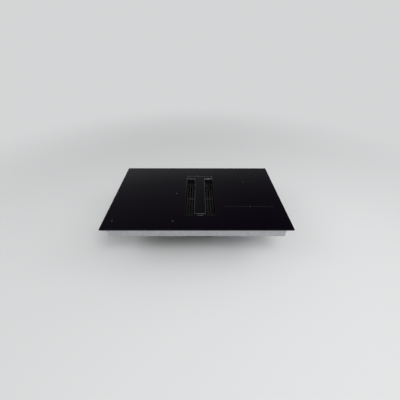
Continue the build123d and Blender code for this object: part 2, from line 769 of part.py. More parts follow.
def coil_formers():
    pieces = []
    for at in ZONES.values():
        plate = pillar(COIL_W, COIL_D, COIL_R, (FORMER_Z0, WINDING_Z0), at)
        pieces.append(plate - rod(SENSOR_BORE_R, past((FORMER_Z0, WINDING_Z0)), at))
    return group(pieces)


def ferrite_bars():
    """Bars that fan out under each winding."""
    pieces = []
    for x, y in ZONES.values():
        for index in range(FERRITE_COUNT):
            turn = 360 / FERRITE_COUNT * (index + 0.5)
            reach = COIL_D / 2 - FERRITE_L / 2 - TURN_W
            bar = Pos(reach, 0, FERRITE_Z0 + FERRITE_T / 2) * Box(FERRITE_L, FERRITE_W, FERRITE_T)
            pieces.append(Pos(x, y, 0) * Rot(0, 0, turn) * bar)
    return group(pieces)


def coil_sensors():
    """A spring-loaded temperature sensor in the middle of each winding, against the glass."""
    pieces = []
    for at in ZONES.values():
        puck = rod(SENSOR_R, (WINDING_Z0, BODY_DEPTH), at)
        stem = rod(SENSOR_R / 2, (FERRITE_Z0, WINDING_Z0), at)
        pieces.append(puck + stem)
    return group(pieces)


CARRIER_D = 2 * COIL_Y + COIL_D
LEG_Z0 = SPRING_Z0 + SPRING_FREE_H + SEAT_GAP


def leg_spots(x):
    """Centres of the four legs of a carrier plate."""
    reach = (CARRIER_W / 2 - CARRIER_LEG_W / 2, CARRIER_D / 2 - CARRIER_LEG_W / 2)
    return [(x + i * reach[0], j * reach[1]) for i in (-1, 1) for j in (-1, 1)]


def carrier(side):
    """Aluminium plate under two coils, with a folded leg at each corner."""
    x = SIDES[side][1]
    plate = pillar(CARRIER_W, CARRIER_D, CARRIER_R, (CARRIER_Z0, FERRITE_Z0), (x, 0))
    for spot in leg_spots(x):
        outer = spot[0] + (CARRIER_LEG_W / 2 if spot[0] > x else -CARRIER_LEG_W / 2)
        inner = outer + (-CARRIER_T if spot[0] > x else CARRIER_T)
        wall = (min(outer, inner), max(outer, inner))
        y = (spot[1] - CARRIER_LEG_D / 2, spot[1] + CARRIER_LEG_D / 2)
        plate += block(wall, y, (LEG_Z0, CARRIER_Z0 + CARRIER_T / 2))
        foot = (spot[0] - CARRIER_LEG_W / 2, spot[0] + CARRIER_LEG_W / 2)
        plate += block(foot, y, (LEG_Z0, LEG_Z0 + CARRIER_T))
    return plate


def carrier_springs():
    """Arched leaf springs between the tray floor and the carrier legs."""
    pieces = []
    rise = SPRING_FREE_H - SPRING_T
    for _, x in SIDES.values():
        for at in leg_spots(x):
            arch = ThreePointArc((-SPRING_L / 2, 0), (0, rise), (SPRING_L / 2, 0))
            over = ThreePointArc((SPRING_L / 2, SPRING_T), (0, SPRING_FREE_H), (-SPRING_L / 2, SPRING_T))
            ends = [Line(arch @ 1, over @ 0), Line(over @ 1, arch @ 0)]
            face = Plane.YZ * make_face([arch, ends[0], over, ends[1]])
            strip = extrude(face, CARRIER_LEG_D / 2, both=True)
            pieces.append(Pos(at[0], at[1], SPRING_Z0) * strip)
    return group(pieces)


# Boards and cooling fans -----------------------------------------------------------------------------

BOARD_Z0 = TRAY_FLOOR + STANDOFF_H
BOARD_TOP = BOARD_Z0 + BOARD_T


def inverter_board(side):
    x = SIDES[side][1]
    return pillar(BOARD_W, BOARD_D, BOARD_R, (BOARD_Z0, BOARD_TOP), (x, BOARD_Y))


def heatsinks():
    """Finned bars that cool the power switches of each board."""
    pieces = []
    for _, x in SIDES.values():
        left = x - HEATSINK_W / 2
        y = (BOARD_Y - HEATSINK_L / 2, BOARD_Y + HEATSINK_L / 2)
        body = block((left, left + HEATSINK_W), y, (BOARD_TOP, BOARD_TOP + HEATSINK_BASE))
        pitch = (HEATSINK_W - FIN_T) / (FIN_COUNT - 1)
        for index in range(FIN_COUNT):
            fin = left + index * pitch
            body += block((fin, fin + FIN_T), y, (BOARD_TOP, BOARD_TOP + HEATSINK_H))
        pieces.append(body)
    return group(pieces)


def power_parts():
    """Capacitors along one edge of each board and chokes along the other."""
    pieces = []
    for _, x in SIDES.values():
        pitch = BOARD_D / (CAPACITOR_COUNT + 1)
        for index in range(CAPACITOR_COUNT):
            y = BOARD_Y - BOARD_D / 2 + (index + 1) * pitch
            can_x = x + BOARD_W / 2 - 2 * CAPACITOR_R
            pieces.append(rod(CAPACITOR_R, (BOARD_TOP, BOARD_TOP + CAPACITOR_H), (can_x, y)))
            choke_at = (x - BOARD_W / 2 + CHOKE_R + STANDOFF_R, y)
            choke = rod(CHOKE_R, (BOARD_TOP, BOARD_TOP + CHOKE_H), choke_at)
            pieces.append(choke - rod(CHOKE_BORE_R, past((BOARD_TOP, BOARD_TOP + CHOKE_H)), choke_at))
    return group(pieces)


def fan_frame(side):
    """Square frame of a cooling fan, with its hub plate and pin on four struts."""
    at = (fan_x(side), FAN_Y)
    z = (TRAY_FLOOR, TRAY_FLOOR + FAN_H)
    body = pillar(FAN_SIZE, FAN_SIZE, FAN_CORNER_R, z, at)
    body -= rod(FAN_DUCT_R, past(z), at)
    for turn in (45, 135):
        strut = Rot(0, 0, turn) * Box(2 * (FAN_DUCT_R + CUT_OVER), FAN_STRUT_W, FAN_STRUT_T)
        body += Pos(at[0], at[1], z[0] + FAN_STRUT_T / 2) * strut
    body += rod(FAN_HUB_R, (z[0], z[0] + FAN_STRUT_T), at)
    return body + rod(FAN_PIN_R, (z[0], z[1] - FAN_STRUT_T), at)


def fan_rotor(side):
    """Hub and blades of a cooling fan, running on the frame's pin."""
    at = (fan_x(side), FAN_Y)
    z = (TRAY_FLOOR + FAN_STRUT_T + FIT_GAP, TRAY_FLOOR + FAN_H - FIT_GAP)
    body = rod(FAN_HUB_R, z, at)
    reach = FAN_DUCT_R - FAN_TIP_GAP
    root = FAN_HUB_R - FAN_BLADE_T
    for index in range(FAN_BLADES):
        length = reach - root - FAN_BLADE_EASE
        plate = Rot(FAN_BLADE_TILT, 0, 0) * Box(length, FAN_BLADE_CHORD, FAN_BLADE_T)
        blade = Pos(root + length / 2, 0, (z[0] + z[1]) / 2) * plate
        body += Pos(at[0], at[1], 0) * Rot(0, 0, 360 / FAN_BLADES * index) * blade
    return body - rod(FAN_PIN_R + RUN_GAP, (z[0] - CUT_OVER, z[1] - CUT_OVER), at)


TOUCH_TOP = BODY_DEPTH - TOUCH_GAP


def touch_board():
    """Control board with a row of indicator lights that reach up to the glass."""
    body = block(
        (VENT_X - TOUCH_W / 2, VENT_X + TOUCH_W / 2),
        (TOUCH_Y - TOUCH_D / 2, TOUCH_Y + TOUCH_D / 2),
        (TOUCH_TOP - BOARD_T, TOUCH_TOP),
    )
    pitch = TOUCH_W / LED_COUNT
    for index in range(LED_COUNT):
        x = VENT_X + (index - (LED_COUNT - 1) / 2) * pitch
        body += block((x, x + LED_SIZE), (TOUCH_Y, TOUCH_Y + LED_SIZE), (TOUCH_TOP, BODY_DEPTH - SEAT_GAP))
    return body


def touch_holder():
    """Plastic cradle that presses the touch board up from the tray floor."""
    wall = TOUCH_HOLDER_WALL + FIT_GAP
    x = (VENT_X - TOUCH_W / 2 - wall, VENT_X + TOUCH_W / 2 + wall)
    y = (TOUCH_Y - TOUCH_D / 2 - wall, TOUCH_Y + TOUCH_D / 2 + wall)
    low = TOUCH_TOP - BOARD_T
    body = block(x, y, (low - TOUCH_HOLDER_WALL, BODY_DEPTH - SEAT_GAP))
    inner_x = (x[0] + TOUCH_HOLDER_WALL, x[1] - TOUCH_HOLDER_WALL)
    inner_y = (y[0] + TOUCH_HOLDER_WALL, y[1] - TOUCH_HOLDER_WALL)
    body -= block(inner_x, inner_y, (low, BODY_DEPTH))
    for foot_x in (x[0] + LED_SIZE, x[1] - 2 * LED_SIZE):
        body += block((foot_x, foot_x + LED_SIZE), y, (TRAY_FLOOR, low - TOUCH_HOLDER_WALL))
    return body


# Extraction fan ------------------------------------------------------------------------------------

SCROLL_TOP = SCROLL_H + SCROLL_COVER_T
OUTLET_LEFT = FAN_X - SCROLL_R1
OUTLET_RIGHT = OUTLET_LEFT + OUTLET_W


def scroll_point(turn_deg, grow):
    """A point of the spiral wall, turn_deg round from the tongue in the sense of the flow."""
    radius = SCROLL_R0 + (SCROLL_R1 - SCROLL_R0) * turn_deg / SWEEP_DEG + grow
    angle = radians(TONGUE_DEG - turn_deg)
    return (FAN_X + radius * cos(angle), SCROLL_Y + radius * sin(angle))


def scroll_outline(grow):
    """The plan of the air channel: a spiral that opens into the outlet, grown by a wall."""
    turns = [SWEEP_DEG * step / SPIRAL_SPANS for step in range(SPIRAL_SPANS + 1)]
    spiral = Spline(*[scroll_point(turn, grow) for turn in turns])
    start = scroll_point(0, grow)
    end = scroll_point(SWEEP_DEG, grow)
    right = OUTLET_RIGHT + grow
    throat = (right, OUTLET_Y - OUTLET_STRAIGHT)
    straight = Polyline(end, (OUTLET_LEFT - grow, OUTLET_Y), (right, OUTLET_Y), throat, start)
    return make_face([spiral, straight])


def scroll_boss_spots():
    """Screw bosses outside the wall: round the spiral and beside the outlet."""
    spots = [scroll_point(turn, BOSS_R) for turn in SCROLL_BOSS_DEG]
    y = OUTLET_Y - OUTLET_STRAIGHT / 2
    return spots + [(OUTLET_LEFT - BOSS_R, y), (OUTLET_RIGHT + BOSS_R, y)]


def scroll_base():
    """Lower shell: floor, spiral wall and outlet channel."""
    body = extrude(scroll_outline(SCROLL_WALL), SCROLL_H)
    for at in scroll_boss_spots():
        body += rod(BOSS_R, (SCROLL_H - BOSS_H, SCROLL_H), at)
        body -= rod(SCREW_R, (SCROLL_H - SCREW_BITE, SCROLL_H + CUT_OVER), at)
    body -= Pos(0, 0, SCROLL_WALL) * extrude(scroll_outline(0), SCROLL_H)
    body -= block(
        (OUTLET_LEFT, OUTLET_RIGHT),
        past((OUTLET_Y, OUTLET_Y)),
        (SCROLL_WALL, SCROLL_H + CUT_OVER),
    )
    hole = Pos(CABLE_X, SCROLL_Y - SCROLL_R1, CABLE_Z) * Rot(90, 0, 0) * Cylinder(CABLE_R, CABLE_HOLE_L)
    return body - hole


PLENUM_X = (FAN_X - INLET_R - PLENUM_MARGIN, VENT_LEFT - WELL_WALL)
PLENUM_Y = (WINDOW_FRONT - PLENUM_WALL, WINDOW_BACK + 2 * PLENUM_WALL + PLENUM_MARGIN)
PLENUM_Z = (SCROLL_TOP, TRAY_Z0 - PLENUM_TOP_GAP)


def scroll_cover():
    """Lid of the scroll and floor of the plenum, with the rounded inlet ring."""
    plate = extrude(scroll_outline(SCROLL_WALL), SCROLL_COVER_T)
    body = Pos(0, 0, SCROLL_H) * plate
    body += block(PLENUM_X, PLENUM_Y, (SCROLL_H, SCROLL_TOP))
    for at in scroll_boss_spots():
        body += rod(BOSS_R, (SCROLL_H, SCROLL_TOP), at)
        body -= rod(SCREW_R, past((SCROLL_H, SCROLL_TOP)), at)
    at = (FAN_X, SCROLL_Y)
    body += rod(INLET_R + INLET_LIP_T, (SCROLL_H - INLET_LIP_H, SCROLL_TOP), at)
    return body - rod(INLET_R, past((SCROLL_H - INLET_LIP_H, SCROLL_TOP)), at)


def plenum_duct():
    """Open-bottomed box that carries the air from the window to the fan inlet."""
    body = block(PLENUM_X, PLENUM_Y, PLENUM_Z)
    inner_x = (PLENUM_X[0] + PLENUM_WALL, PLENUM_X[1] + CUT_OVER)
    inner_y = (PLENUM_Y[0] + PLENUM_WALL, PLENUM_Y[1] - PLENUM_WALL)
    return body - block(inner_x, inner_y, (PLENUM_Z[0] - CUT_OVER, PLENUM_Z[1] - PLENUM_WALL))


def blade_angle(radius):
    """How far a blade trails at a radius, in degrees."""
    return BLADE_LEAN * (radius - BLADE_R0) / (IMPELLER_R - BLADE_R0)


def impeller():
    """Disc, backward-curved blades and shroud ring, on the rotor cup."""
    at = (FAN_X, SCROLL_Y)
    disc_z = (IMPELLER_Z0, IMPELLER_Z0 + DISC_T)
    body = rod(IMPELLER_R + DISC_OVER, disc_z, at) - rod(CUP_R, past(disc_z), at)
    top = (IMPELLER_Z1 - SHROUD_T, IMPELLER_Z1)
    body += rod(IMPELLER_R + DISC_OVER, top, at) - rod(SHROUD_R, past(top), at)
    middle = (BLADE_R0 + IMPELLER_R) / 2
    points = []
    for radius in (BLADE_R0, middle, IMPELLER_R):
        angle = radians(blade_angle(radius))
        points.append((radius * cos(angle), radius * sin(angle)))
    ends = [points[0], points[2]]
    chord = atan2(ends[1][1] - ends[0][1], ends[1][0] - ends[0][0])
    shift = (-sin(chord) * BLADE_T, cos(chord) * BLADE_T)
    near = ThreePointArc(*points)
    far = ThreePointArc(*[(p[0] + shift[0], p[1] + shift[1]) for p in reversed(points)])
    face = make_face([near, Line(near @ 1, far @ 0), far, Line(far @ 1, near @ 0)])
    blade = Pos(at[0], at[1], disc_z[0] + JOIN_LAP) * extrude(face, top[1] - disc_z[0] - 2 * JOIN_LAP)
    pivot = Pos(at[0], at[1], 0)
    for index in range(BLADE_COUNT):
        turned = pivot * Rot(0, 0, 360 / BLADE_COUNT * index) * pivot.inverse() * blade
        body += turned
    return body


def motor_rotor():
    """Steel cup with the shaft, which runs in the stator's bush."""
    at = (FAN_X, SCROLL_Y)
    body = rod(CUP_R, (IMPELLER_Z0, CUP_TOP), at)
    body -= rod(CUP_R - CUP_WALL, (IMPELLER_Z0 - CUT_OVER, CUP_TOP - CUP_WALL), at)
    return body + rod(SHAFT_R, (SCROLL_WALL + MOTOR_FLANGE_T + FIT_GAP, CUP_TOP), at)


def motor_stator():
    """Flange, bush and wound poles inside the rotor cup."""
    at = (FAN_X, SCROLL_Y)
    low = SCROLL_WALL
    body = rod(MOTOR_FLANGE_R, (low, low + MOTOR_FLANGE_T), at)
    body += rod(BUSH_R, (low, CUP_TOP - CUP_WALL - FIT_GAP), at)
    z = (STATOR_Z0, STATOR_Z0 + STATOR_H)
    for index in range(POLE_COUNT):
        reach = STATOR_R - BUSH_R
        pole = Pos(BUSH_R + reach / 2 - JOIN_LAP, 0, (z[0] + z[1]) / 2) * Box(reach, POLE_W, STATOR_H)
        body += Pos(at[0], at[1], 0) * Rot(0, 0, 360 / POLE_COUNT * index) * pole
    bore = (low + MOTOR_FLANGE_T, CUP_TOP)
    return body - rod(SHAFT_R + RUN_GAP, bore, at)


SPIGOT_Z = ((SCROLL_TOP - OUTLET_H) / 2, (SCROLL_TOP + OUTLET_H) / 2)
SPIGOT_MOUTH = OUTLET_Y + SPIGOT_FLANGE_T + SPIGOT_L
HINGE_Y = SPIGOT_MOUTH - FLAP_SETBACK
HINGE_Z = SPIGOT_Z[1] - SPIGOT_WALL - FLAP_PIN_DROP


def outlet_spigot():
    """Flat duct spigot with the flap's two pin holes and the stop it closes against."""
    x = (OUTLET_LEFT, OUTLET_RIGHT)
    body = block(x, (OUTLET_Y, SPIGOT_MOUTH), SPIGOT_Z)
    body += block(
        (x[0] - SCROLL_WALL, x[1] + SCROLL_WALL),
        (OUTLET_Y, OUTLET_Y + SPIGOT_FLANGE_T),
        (0, SCROLL_TOP),
    )
    inner_x = (x[0] + SPIGOT_WALL, x[1] - SPIGOT_WALL)
    inner_z = (SPIGOT_Z[0] + SPIGOT_WALL, SPIGOT_Z[1] - SPIGOT_WALL)
    body -= block(inner_x, past((OUTLET_Y, SPIGOT_MOUTH)), inner_z)
    stop_y = HINGE_Y - FLAP_T / 2 - SEAT_GAP
    body += block(
        past(inner_x),
        (stop_y - FLAP_STOP, stop_y),
        (inner_z[0] - CUT_OVER, inner_z[0] + FLAP_STOP),
    )
    middle = (x[0] + x[1]) / 2
    bore = Cylinder(FLAP_PIN_R + RUN_GAP, OUTLET_W + 2 * CUT_OVER)
    return body - Pos(middle, HINGE_Y, HINGE_Z) * Rot(0, 90, 0) * bore


def damper_flap():
    """Flap that hangs shut and swings out when the fan blows."""
    inner_x = (OUTLET_LEFT + SPIGOT_WALL + FLAP_GAP, OUTLET_RIGHT - SPIGOT_WALL - FLAP_GAP)
    y = (HINGE_Y - FLAP_T / 2, HINGE_Y + FLAP_T / 2)
    body = block(inner_x, y, (SPIGOT_Z[0] + SPIGOT_WALL + FLAP_GAP, HINGE_Z))
    middle = (inner_x[0] + inner_x[1]) / 2
    length = OUTLET_W - 2 * SEAT_GAP
    return body + Pos(middle, HINGE_Y, HINGE_Z) * Rot(0, 90, 0) * Cylinder(FLAP_PIN_R, length)


# Control box, cable and mains box --------------------------------------------------------------------

CONTROL_Z0 = TRAY_Z0 - CONTROL_H
CABLE_Z = SCROLL_WALL + CABLE_FLOOR_GAP + CABLE_R
CABLE_START_Z = CONTROL_Z0 + CONTROL_H / 2


def control_box():
    body = block((CONTROL_X0, CONTROL_X1), (CONTROL_Y0, CONTROL_Y1), (CONTROL_Z0 + CONTROL_LID_T, TRAY_Z0))
    inner_x = (CONTROL_X0 + CONTROL_WALL, CONTROL_X1 - CONTROL_WALL)
    inner_y = (CONTROL_Y0 + CONTROL_WALL, CONTROL_Y1 - CONTROL_WALL)
    body -= block(inner_x, inner_y, (CONTROL_Z0, TRAY_Z0 - CONTROL_WALL))
    hole = Pos(CABLE_X, CONTROL_Y1, CABLE_START_Z) * Rot(90, 0, 0) * Cylinder(CABLE_R, 4 * CONTROL_WALL)
    lid_top = CONTROL_Z0 + CONTROL_LID_T
    for at in lid_spots((CONTROL_X0, CONTROL_X1), (CONTROL_Y0, CONTROL_Y1), CONTROL_WALL):
        body += rod(BOSS_R, (lid_top, lid_top + BOSS_H), at)
        body -= rod(SCREW_R, (lid_top - CUT_OVER, lid_top + SCREW_BITE), at)
    return body - hole


def lid_spots(x, y, wall):
    """Screw positions inside the corners of a box."""
    inset = wall + BOSS_R - JOIN_LAP
    return [(i, j) for i in (x[0] + inset, x[1] - inset) for j in (y[0] + inset, y[1] - inset)]


def box_lid(x, y, z, wall):
    """A flat lid with its screw holes."""
    plate = block(x, y, z)
    for at in lid_spots(x, y, wall):
        plate -= rod(SCREW_R, past(z), at)
    return plate


def control_box_lid():
    z = (CONTROL_Z0, CONTROL_Z0 + CONTROL_LID_T)
    return box_lid((CONTROL_X0, CONTROL_X1), (CONTROL_Y0, CONTROL_Y1), z, CONTROL_WALL)


def control_board():
    """Board of the extractor, hung under the roof of its box."""
    gap = CONTROL_WALL + FIT_GAP
    top = TRAY_Z0 - CONTROL_WALL - CONTROL_BOARD_GAP
    x = (CONTROL_X0 + gap, CONTROL_X1 - gap)
    y = (CONTROL_Y0 + gap, CONTROL_Y1 - gap)
    body = block(x, y, (top - BOARD_T, top))
    for spot_x in (x[0] + 2 * STANDOFF_R, x[1] - 2 * STANDOFF_R):
        middle = (y[0] + y[1]) / 2
        body += rod(STANDOFF_R, (top - JOIN_LAP, TRAY_Z0 - CONTROL_WALL), (spot_x, middle))
    return body


def motor_cable():
    """Cable from the control box, down and through the scroll wall, to the motor flange."""
    drop_y = CONTROL_Y1 + CABLE_OUT
    path = FilletPolyline(
        (CABLE_X, CONTROL_Y1 - CONTROL_WALL, CABLE_START_Z),
        (CABLE_X, drop_y, CABLE_START_Z),
        (CABLE_X, drop_y, CABLE_Z),
        (CABLE_X, SCROLL_Y - MOTOR_FLANGE_R, CABLE_Z),
        radius=CABLE_BEND_R,
    )
    section = Plane(origin=path @ 0, z_dir=path % 0) * Circle(CABLE_R)
    return sweep(section, path=path)


TERMINAL_Z0 = TRAY_Z0 - TERMINAL_H


def terminal_box():
    body = block(
        (TERMINAL_X0, TERMINAL_X1),
        (TERMINAL_Y0, TERMINAL_Y1),
        (TERMINAL_Z0 + TERMINAL_LID_T, TRAY_Z0),
    )
    inner_x = (TERMINAL_X0 + TERMINAL_WALL, TERMINAL_X1 - TERMINAL_WALL)
    inner_y = (TERMINAL_Y0 + TERMINAL_WALL, TERMINAL_Y1 - TERMINAL_WALL)
    body -= block(inner_x, inner_y, (TERMINAL_Z0, TRAY_Z0 - TERMINAL_WALL))
    lid_top = TERMINAL_Z0 + TERMINAL_LID_T
    for at in lid_spots((TERMINAL_X0, TERMINAL_X1), (TERMINAL_Y0, TERMINAL_Y1), TERMINAL_WALL):
        body += rod(BOSS_R, (lid_top, lid_top + BOSS_H), at)
        body -= rod(SCREW_R, (lid_top - CUT_OVER, lid_top + SCREW_BITE), at)
    return body - gland_bar(GLAND_R - GLAND_STEP, 4 * TERMINAL_WALL)


def gland_bar(radius, length):
    """A round bar on the gland's axis, centred on the back wall of the terminal box."""
    x = (TERMINAL_X0 + TERMINAL_X1) / 2
    z = (TERMINAL_Z0 + TERMINAL_LID_T + TRAY_Z0) / 2
    return Pos(x, TERMINAL_Y1, z) * Rot(90, 0, 0) * Cylinder(radius, length)


def terminal_cover():
    z = (TERMINAL_Z0, TERMINAL_Z0 + TERMINAL_LID_T)
    return box_lid((TERMINAL_X0, TERMINAL_X1), (TERMINAL_Y0, TERMINAL_Y1), z, TERMINAL_WALL)


def terminal_block():
    """Row of screw terminals on the roof of the mains box."""
    top = TRAY_Z0 - TERMINAL_WALL
    pitch = (TERMINAL_X1 - TERMINAL_X0 - 4 * TERMINAL_WALL) / POLE_BLOCKS
    y = (TERMINAL_Y0 + POLE_BLOCK_BACK, TERMINAL_Y0 + POLE_BLOCK_BACK + POLE_BLOCK_D)
    x = (TERMINAL_X0 + 2 * TERMINAL_WALL, TERMINAL_X1 - 2 * TERMINAL_WALL)
    low = top - POLE_BLOCK_H
    body = block(x, y, (low, top))
    for index in range(POLE_BLOCKS):
        at = (x[0] + (index + 0.5) * pitch, (y[0] + y[1]) / 2)
        body += rod(POLE_STUD_R, (low - POLE_STUD_H, low + JOIN_LAP), at)
    return body


def cable_gland():
    """Screwed gland for the mains cable, through the back wall of its box."""
    collar = Pos(0, GLAND_L / 2, 0) * gland_bar(GLAND_R, GLAND_L)
    neck = gland_bar(GLAND_R - GLAND_STEP, 2 * TERMINAL_WALL)
    return collar + neck - Pos(0, GLAND_L / 2, 0) * gland_bar(GLAND_BORE_R, GLAND_L + 4 * TERMINAL_WALL)


# Clamps and screws -----------------------------------------------------------------------------------

CLAMP_X = TRAY_W / 2 - CLAMP_INSET_X
CLAMP_Y = TRAY_D / 2 - CLAMP_INSET_Y
ARM_TOP = TRAY_Z0 - CLAMP_DROP
CLAMPS = {
    "front_left": (-CLAMP_X, -CLAMP_Y),
    "front_right": (CLAMP_X, -CLAMP_Y),
    "rear_left": (-CLAMP_X, CLAMP_Y),
    "rear_right": (CLAMP_X, CLAMP_Y),
}


def clamp_arm(corner):
    """Flat bar with a turned-up tip. It is parked along the tray, pointing to the middle."""
    x, y = CLAMPS[corner]
    inward = -1 if y > 0 else 1
    z = (ARM_TOP - CLAMP_ARM_T, ARM_TOP)
    half = CLAMP_ARM_W / 2
    far = y + inward * (CLAMP_ARM_L - half)
    near = y - inward * half
    body = block((x - half, x + half), (min(near, far), max(near, far)), z)
    tip = (min(far, far - inward * CLAMP_ARM_T), max(far, far - inward * CLAMP_ARM_T))
    body += block((x - half, x + half), tip, (z[0], z[1] + CLAMP_TIP))
    return body - rod(CLAMP_SCREW_R + SEAT_GAP, past(z), (x, y))


def clamp_screws():
    return group([rod(CLAMP_SCREW_R, (TRAY_Z0 - CLAMP_SCREW_L, TRAY_Z0), at) for at in CLAMPS.values()])


def clamp_nuts():
    """Two hexagon nuts on each screw, with the arm between them."""
    pieces = []
    above = ARM_TOP + SEAT_GAP
    below = ARM_TOP - CLAMP_ARM_T - SEAT_GAP - NUT_H
    for x, y in CLAMPS.values():
        for low in (above, below):
            nut = Pos(x, y, low) * extrude(RegularPolygon(NUT_R, 6), NUT_H)
            pieces.append(nut - rod(CLAMP_SCREW_R, past((low, low + NUT_H)), (x, y)))
    return group(pieces)


def well_screw_spots():
    """Screws round the flange that joins the well to the vent frame."""
    side = VENT_W / 2 + WELL_WALL + WELL_FLANGE / 2
    end = VENT_L / 2 + WELL_WALL + WELL_FLANGE / 2
    spots = [(VENT_X + i * side, VENT_Y + j * WELL_SCREW_PITCH) for i in (-1, 1) for j in (-1, 0, 1)]
    return spots + [(VENT_X, VENT_Y - end), (VENT_X, VENT_Y + end)]


def screw(at, seat, tip):
    """A pan-head screw whose head lies on the seat height, with its tip up or down from there."""
    beyond = seat - SCREW_HEAD_H if tip > seat else seat + SCREW_HEAD_H
    head = rod(SCREW_HEAD_R, (min(beyond, seat), max(beyond, seat)), at)
    return head + rod(SCREW_R, (min(seat, tip), max(seat, tip)), at)


def housing_screws():
    """Screws of the well's flange, the fan cover and the two box lids."""
    low = WELL_TOP - WELL_FLANGE_T
    pieces = [screw(at, low, FRAME_Z0 + FRAME_SCREW_DEPTH) for at in well_screw_spots()]
    pieces += [screw(at, SCROLL_TOP, SCROLL_H - SCREW_BITE) for at in scroll_boss_spots()]
    for at in lid_spots((CONTROL_X0, CONTROL_X1), (CONTROL_Y0, CONTROL_Y1), CONTROL_WALL):
        pieces.append(screw(at, CONTROL_Z0, CONTROL_Z0 + CONTROL_LID_T + SCREW_BITE))
    for at in lid_spots((TERMINAL_X0, TERMINAL_X1), (TERMINAL_Y0, TERMINAL_Y1), TERMINAL_WALL):
        pieces.append(screw(at, TERMINAL_Z0, TERMINAL_Z0 + TERMINAL_LID_T + SCREW_BITE))
    return group(pieces)


def with_screw_holes(flange, z):
    """The flange with a hole for each of the well's screws."""
    for at in well_screw_spots():
        flange -= rod(SCREW_R, z, at)
    return flange


def drilled_well():
    return with_screw_holes(inlet_well(), past((WELL_TOP - WELL_FLANGE_T, WELL_TOP)))


def drilled_frame():
    return with_screw_holes(vent_frame(), (FRAME_Z0 - CUT_OVER, FRAME_Z0 + FRAME_SCREW_DEPTH))


NODES = {
    "glass_top": glass_top,
    "glass_seal": glass_seal,
    "bond_bead": bond_bead,
    "vent_frame": drilled_frame,
    "frame_gasket": frame_gasket,
    "bridge_plate": bridge_plate,
    "cover_frame": cover_frame,
    "cover_glass": cover_glass,
    "cover_pads": cover_pads,
    "grille": grille,
    "filter_frame": filter_frame,
    "filter_baffles": filter_baffles,
    "filter_handle": filter_handle,
    "spill_tray": spill_tray,
    "inlet_well": drilled_well,
    "housing_screws": housing_screws,
    "base_tray": base_tray,
    "insulation_mats": insulation_mats,
    "coil_formers": coil_formers,
    "ferrite_bars": ferrite_bars,
    "coil_sensors": coil_sensors,
    "carrier_springs": carrier_springs,
    "heatsinks": heatsinks,
    "power_parts": power_parts,
    "touch_board": touch_board,
    "touch_holder": touch_holder,
    "scroll_base": scroll_base,
    "scroll_cover": scroll_cover,
    "plenum_duct": plenum_duct,
    "impeller": impeller,
    "motor_rotor": motor_rotor,
    "motor_stator": motor_stator,
    "outlet_spigot": outlet_spigot,
    "damper_flap": damper_flap,
    "control_box": control_box,
    "control_box_lid": control_box_lid,
    "control_board": control_board,
    "motor_cable": motor_cable,
    "terminal_box": terminal_box,
    "terminal_cover": terminal_cover,
    "terminal_block": terminal_block,
    "cable_gland": cable_gland,
    "clamp_screws": clamp_screws,
    "clamp_nuts": clamp_nuts,
}

os.makedirs("parts", exist_ok=True)
for name, make in NODES.items():
    export_step(make(), f"parts/{name}.step")
for zone in ZONES:
    export_step(winding(zone), f"parts/winding_{zone}.step")
for side in SIDES:
    export_step(carrier(side), f"parts/carrier_{side}.step")
    export_step(inverter_board(side), f"parts/inverter_board_{side}.step")
    export_step(fan_frame(side), f"parts/fan_frame_{side}.step")
    export_step(fan_rotor(side), f"parts/fan_rotor_{side}.step")
for corner in CLAMPS:
    export_step(clamp_arm(corner), f"parts/clamp_arm_{corner}.step")
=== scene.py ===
"""Studio scene of an induction cooktop with a downdraft extractor, dressed round its CAD model.

Metres, in the frame of the CAD: +X is the cook's right, +Y the back of the worktop and +Z up. Each
class below is one sub-assembly. It holds its sizes, builds the pieces that the CAD leaves plain and
gives every node of the sub-assembly its finish.
"""
import json
import logging
from dataclasses import dataclass
from enum import Enum
from math import cos, pi, radians, sin
from typing import Callable, Sequence

import bmesh
import bpy
from mathutils import Matrix, Vector

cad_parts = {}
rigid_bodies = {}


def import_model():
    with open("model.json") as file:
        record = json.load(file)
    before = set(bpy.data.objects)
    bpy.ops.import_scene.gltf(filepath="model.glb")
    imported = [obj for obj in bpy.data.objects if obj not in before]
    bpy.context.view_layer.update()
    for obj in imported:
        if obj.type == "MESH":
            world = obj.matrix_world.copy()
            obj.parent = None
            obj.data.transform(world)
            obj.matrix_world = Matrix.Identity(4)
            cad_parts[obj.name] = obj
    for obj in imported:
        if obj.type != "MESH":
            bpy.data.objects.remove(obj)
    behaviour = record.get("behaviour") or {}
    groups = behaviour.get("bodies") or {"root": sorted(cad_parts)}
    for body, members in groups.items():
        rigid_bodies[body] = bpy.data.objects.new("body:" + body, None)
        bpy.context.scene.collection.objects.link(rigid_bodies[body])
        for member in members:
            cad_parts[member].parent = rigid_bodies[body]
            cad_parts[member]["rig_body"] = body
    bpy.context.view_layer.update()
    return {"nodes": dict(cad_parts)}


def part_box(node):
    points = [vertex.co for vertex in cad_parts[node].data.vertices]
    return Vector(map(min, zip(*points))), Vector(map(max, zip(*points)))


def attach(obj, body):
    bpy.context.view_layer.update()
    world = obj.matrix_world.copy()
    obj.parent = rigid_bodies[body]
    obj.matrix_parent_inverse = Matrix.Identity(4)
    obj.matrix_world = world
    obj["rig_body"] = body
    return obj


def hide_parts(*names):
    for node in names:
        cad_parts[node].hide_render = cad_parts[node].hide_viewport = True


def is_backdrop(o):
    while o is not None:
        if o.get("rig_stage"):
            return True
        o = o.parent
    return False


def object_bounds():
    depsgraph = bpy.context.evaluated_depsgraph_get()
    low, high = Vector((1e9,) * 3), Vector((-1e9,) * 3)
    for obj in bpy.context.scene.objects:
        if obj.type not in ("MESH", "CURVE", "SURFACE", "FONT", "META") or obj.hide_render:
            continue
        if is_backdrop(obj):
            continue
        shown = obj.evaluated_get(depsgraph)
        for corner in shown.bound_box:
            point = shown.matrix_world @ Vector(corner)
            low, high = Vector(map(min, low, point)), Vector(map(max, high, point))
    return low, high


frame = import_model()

MM = 0.001
